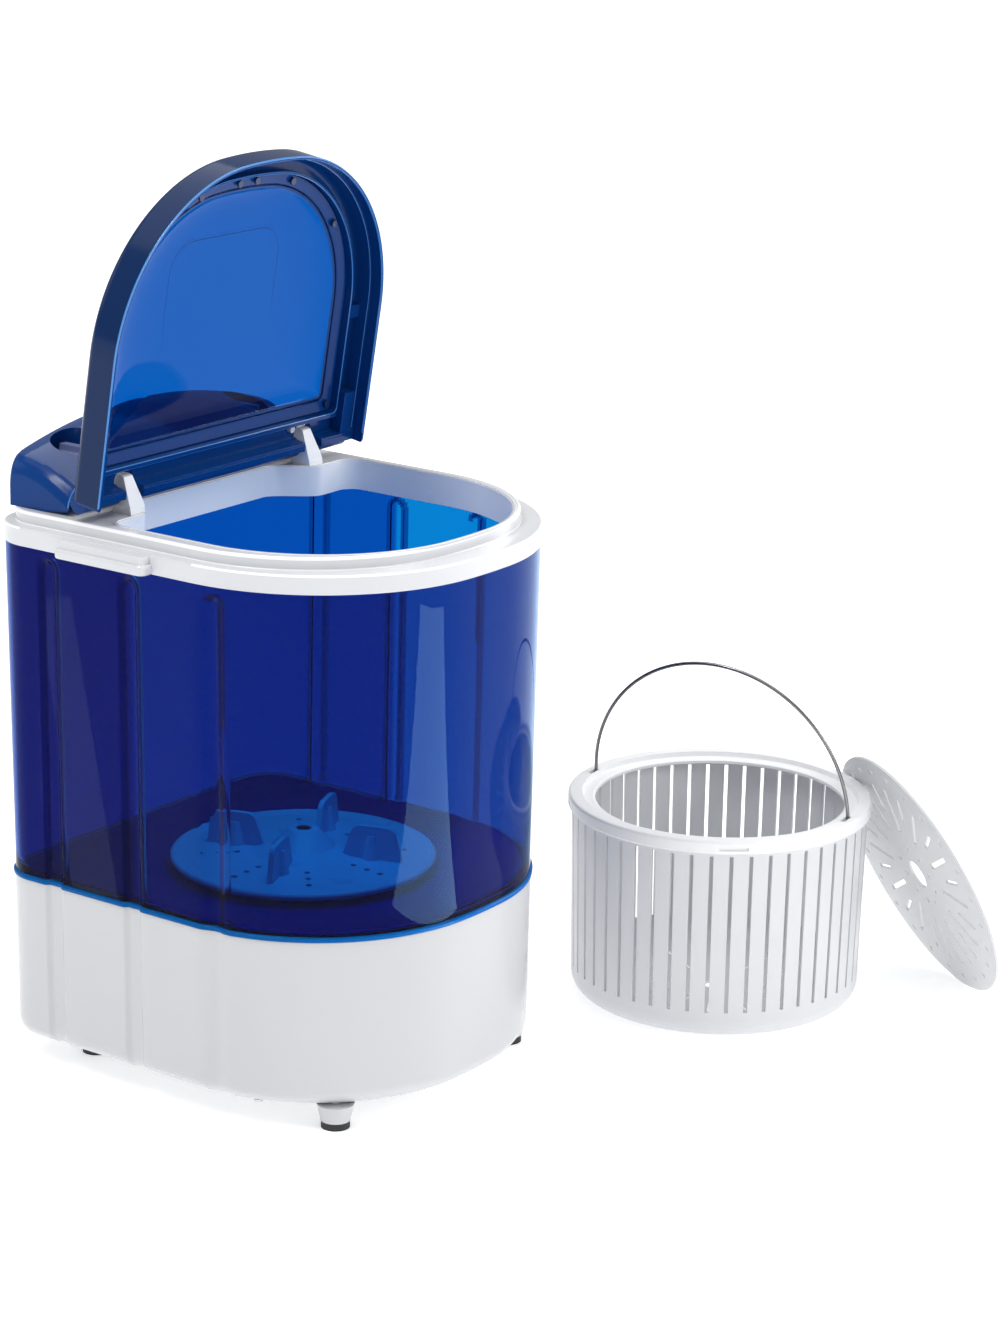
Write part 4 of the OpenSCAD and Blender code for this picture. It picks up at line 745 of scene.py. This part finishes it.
def make_control_panel():
    panel = panel_solid("panel_moulding", 0)
    hollow = panel_solid("hollow", PANEL_WALL)
    for x in (-KNOB_X, KNOB_X):
        cut(hollow, rod("well_wall", WELL_R + PANEL_WALL, WELL_Z - PANEL_WALL, WELL_Z + 60, x, KNOB_Y))
    cut(panel, hollow)
    for x in (-KNOB_X, KNOB_X):
        cut(panel, rod("well", WELL_R, WELL_Z, WELL_Z + 60, x, KNOB_Y))
        cut(panel, rod("stem", STEM_R, DECK_Z, WELL_Z + 5, x, KNOB_Y))
    settle(panel, "machine", NAVY, "navy", "control_panel")
    second_finish(panel, NAVY_TOP, lambda c, n: n.z > 0.8)
    # The crest line between scoop and top gets the light azure painted highlight
    second_finish(panel, NAVY_PAINTED_HIGHLIGHT, on_panel_crest)


# Floor, light and camera

def make_floor():
    """Pale floor that glows a little, more so far from the object, so that it stays white out there."""
    reach = 30.0
    floor = solid("floor", [(-reach, -reach, 0), (reach, -reach, 0), (reach, reach, 0), (-reach, reach, 0)],
                  [(0, 1, 2, 3)])
    pale = plastic("pale_floor", (0.93, 0.93, 0.93), rough=0.6, edge=0.0, drift=0.01, gloss=0.0)
    tree = pale.node_tree
    glow = tree.nodes["Principled BSDF"].inputs
    glow["Emission Color"].default_value = (1, 1, 1, 1)
    away = add(tree, "ShaderNodeVectorMath", operation="LENGTH")
    tree.links.new(add(tree, "ShaderNodeTexCoord").outputs["Object"], away.inputs[0])
    ramp(tree, away.outputs["Value"], glow["Emission Strength"], 0.45, 0.85, 1.2, 4.0)
    floor.data.materials.append(pale)


def soft_light(name, place, target, size, power, color=(1, 1, 1)):
    lamp = bpy.data.lights.new(name, "AREA")
    lamp.shape = "RECTANGLE"
    lamp.size, lamp.size_y = size
    lamp.energy = power
    lamp.color = color
    stand = bpy.data.objects.new(name, lamp)
    stand.location = place
    stand.rotation_euler = (Vector(target) - Vector(place)).to_track_quat("-Z", "Y").to_euler()
    stand.visible_camera = False
    stand.visible_transmission = False
    bpy.context.scene.collection.objects.link(stand)
    return stand


def lit_alone(name, *pieces):
    """Group of the pieces that a lamp lights."""
    group = bpy.data.collections.new(name)
    for piece in pieces:
        group.objects.link(piece)
    return group


def floor_strip(name, near, turn, width, length, power, color, lit):
    """Lamp that lies on the floor and shows as an upright band in the wall of the piece it lights.

    It leads away from near, a place in millimetres from the middle of the machine, and starts 0.4 m from it.
    """
    out = Vector((cos(radians(turn)), sin(radians(turn)), 0))
    start = Vector((FRAME_MID.x + near[0] * MM, FRAME_MID.y + near[1] * MM, 0.004))
    place = start + out * (0.4 + length / 2)
    lamp = soft_light(name, place, place + Vector((0, 0, 1)), (length, width), power, color)
    lamp.rotation_euler = (pi, 0, radians(turn))
    lamp.light_linking.receiver_collection = lit


def make_lamps():
    soft_light("overhead", (0.2, 0.3, 2.6), (0.2, 0.3, 0), (3.4, 3.4), 42)
    soft_light("key", (2.8, -1.0, 1.7), (0.1, -0.1, 0.3), (1.4, 1.6), 42)
    soft_light("front", (0.3, -3.0, 1.6), (0, 0, 0.3), (1.4, 1.2), 28)
    soft_light("rear", (-1.6, 2.6, 1.8), (0, 0, 0.4), (1.6, 1.2), 5)
    soft_light("strip", (-1.3, 0.5, 2.3), (-0.2, 0.1, 0.5), (0.18, 1.2), 16)
    tub_only = lit_alone("tub_only", bpy.data.objects["tub_moulding"])
    floor_strip("band_right", (-58, -177), -72, 0.42, 1.0, 20, (0.4, 0.7, 1.0), tub_only)
    floor_strip("band_left", (-172, 58), 135, 0.04, 1.0, 0.25, (0.7, 0.8, 1.0), tub_only)
    over = Vector((FRAME_MID.x, FRAME_MID.y - 0.03, 0.72))
    well = soft_light("well", over, (over.x, over.y, 0), (0.2, 0.2), 2.5)
    pulsator_only = lit_alone("pulsator_only", nodes["pulsator"], nodes["pulsator_screw"])
    well.light_linking.receiver_collection = pulsator_only


def make_world(strength):
    """Even pale surroundings, seen as plain white."""
    world = bpy.data.worlds.new("studio")
    world.use_nodes = True
    tree = world.node_tree
    back = tree.nodes["Background"]
    seen = add(tree, "ShaderNodeLightPath").outputs["Is Camera Ray"]
    ramp(tree, seen, back.inputs["Strength"], strength, 1.05)
    back.inputs["Color"].default_value = (1, 1, 1, 1)
    bpy.context.scene.world = world


def make_camera():
    """The photograph's view; the focal length is in pixels of a 1000 x 1333 picture."""
    focal_px, height_px = 3680.0, 1333.0
    sensor = 36.0
    from_machine = (-2.19783, -1.78238, 1.14821)
    turn, tilt, roll = -54.13, 16.19, 1.0358
    data = bpy.data.cameras.new("camera")
    data.sensor_fit = "AUTO"
    data.sensor_width = sensor
    data.lens = focal_px / height_px * sensor
    data.clip_end = 50.0
    camera = bpy.data.objects.new("camera", data)
    camera.location = Vector((FRAME_MID.x, FRAME_MID.y, 0)) + Vector(from_machine)
    aim = Matrix.Rotation(radians(turn), 3, "Z") @ Matrix.Rotation(radians(90 - tilt), 3, "X")
    camera.rotation_euler = (aim @ Matrix.Rotation(radians(roll), 3, "Z")).to_euler()
    bpy.context.scene.collection.objects.link(camera)
    bpy.context.scene.camera = camera


make_base()
make_tub()
make_top_frame()
make_lid_frame()
make_lid_window()
make_control_panel()
make_floor()
make_world(0.4)
make_lamps()
make_camera()
bpy.context.scene.view_settings.view_transform = "Standard"
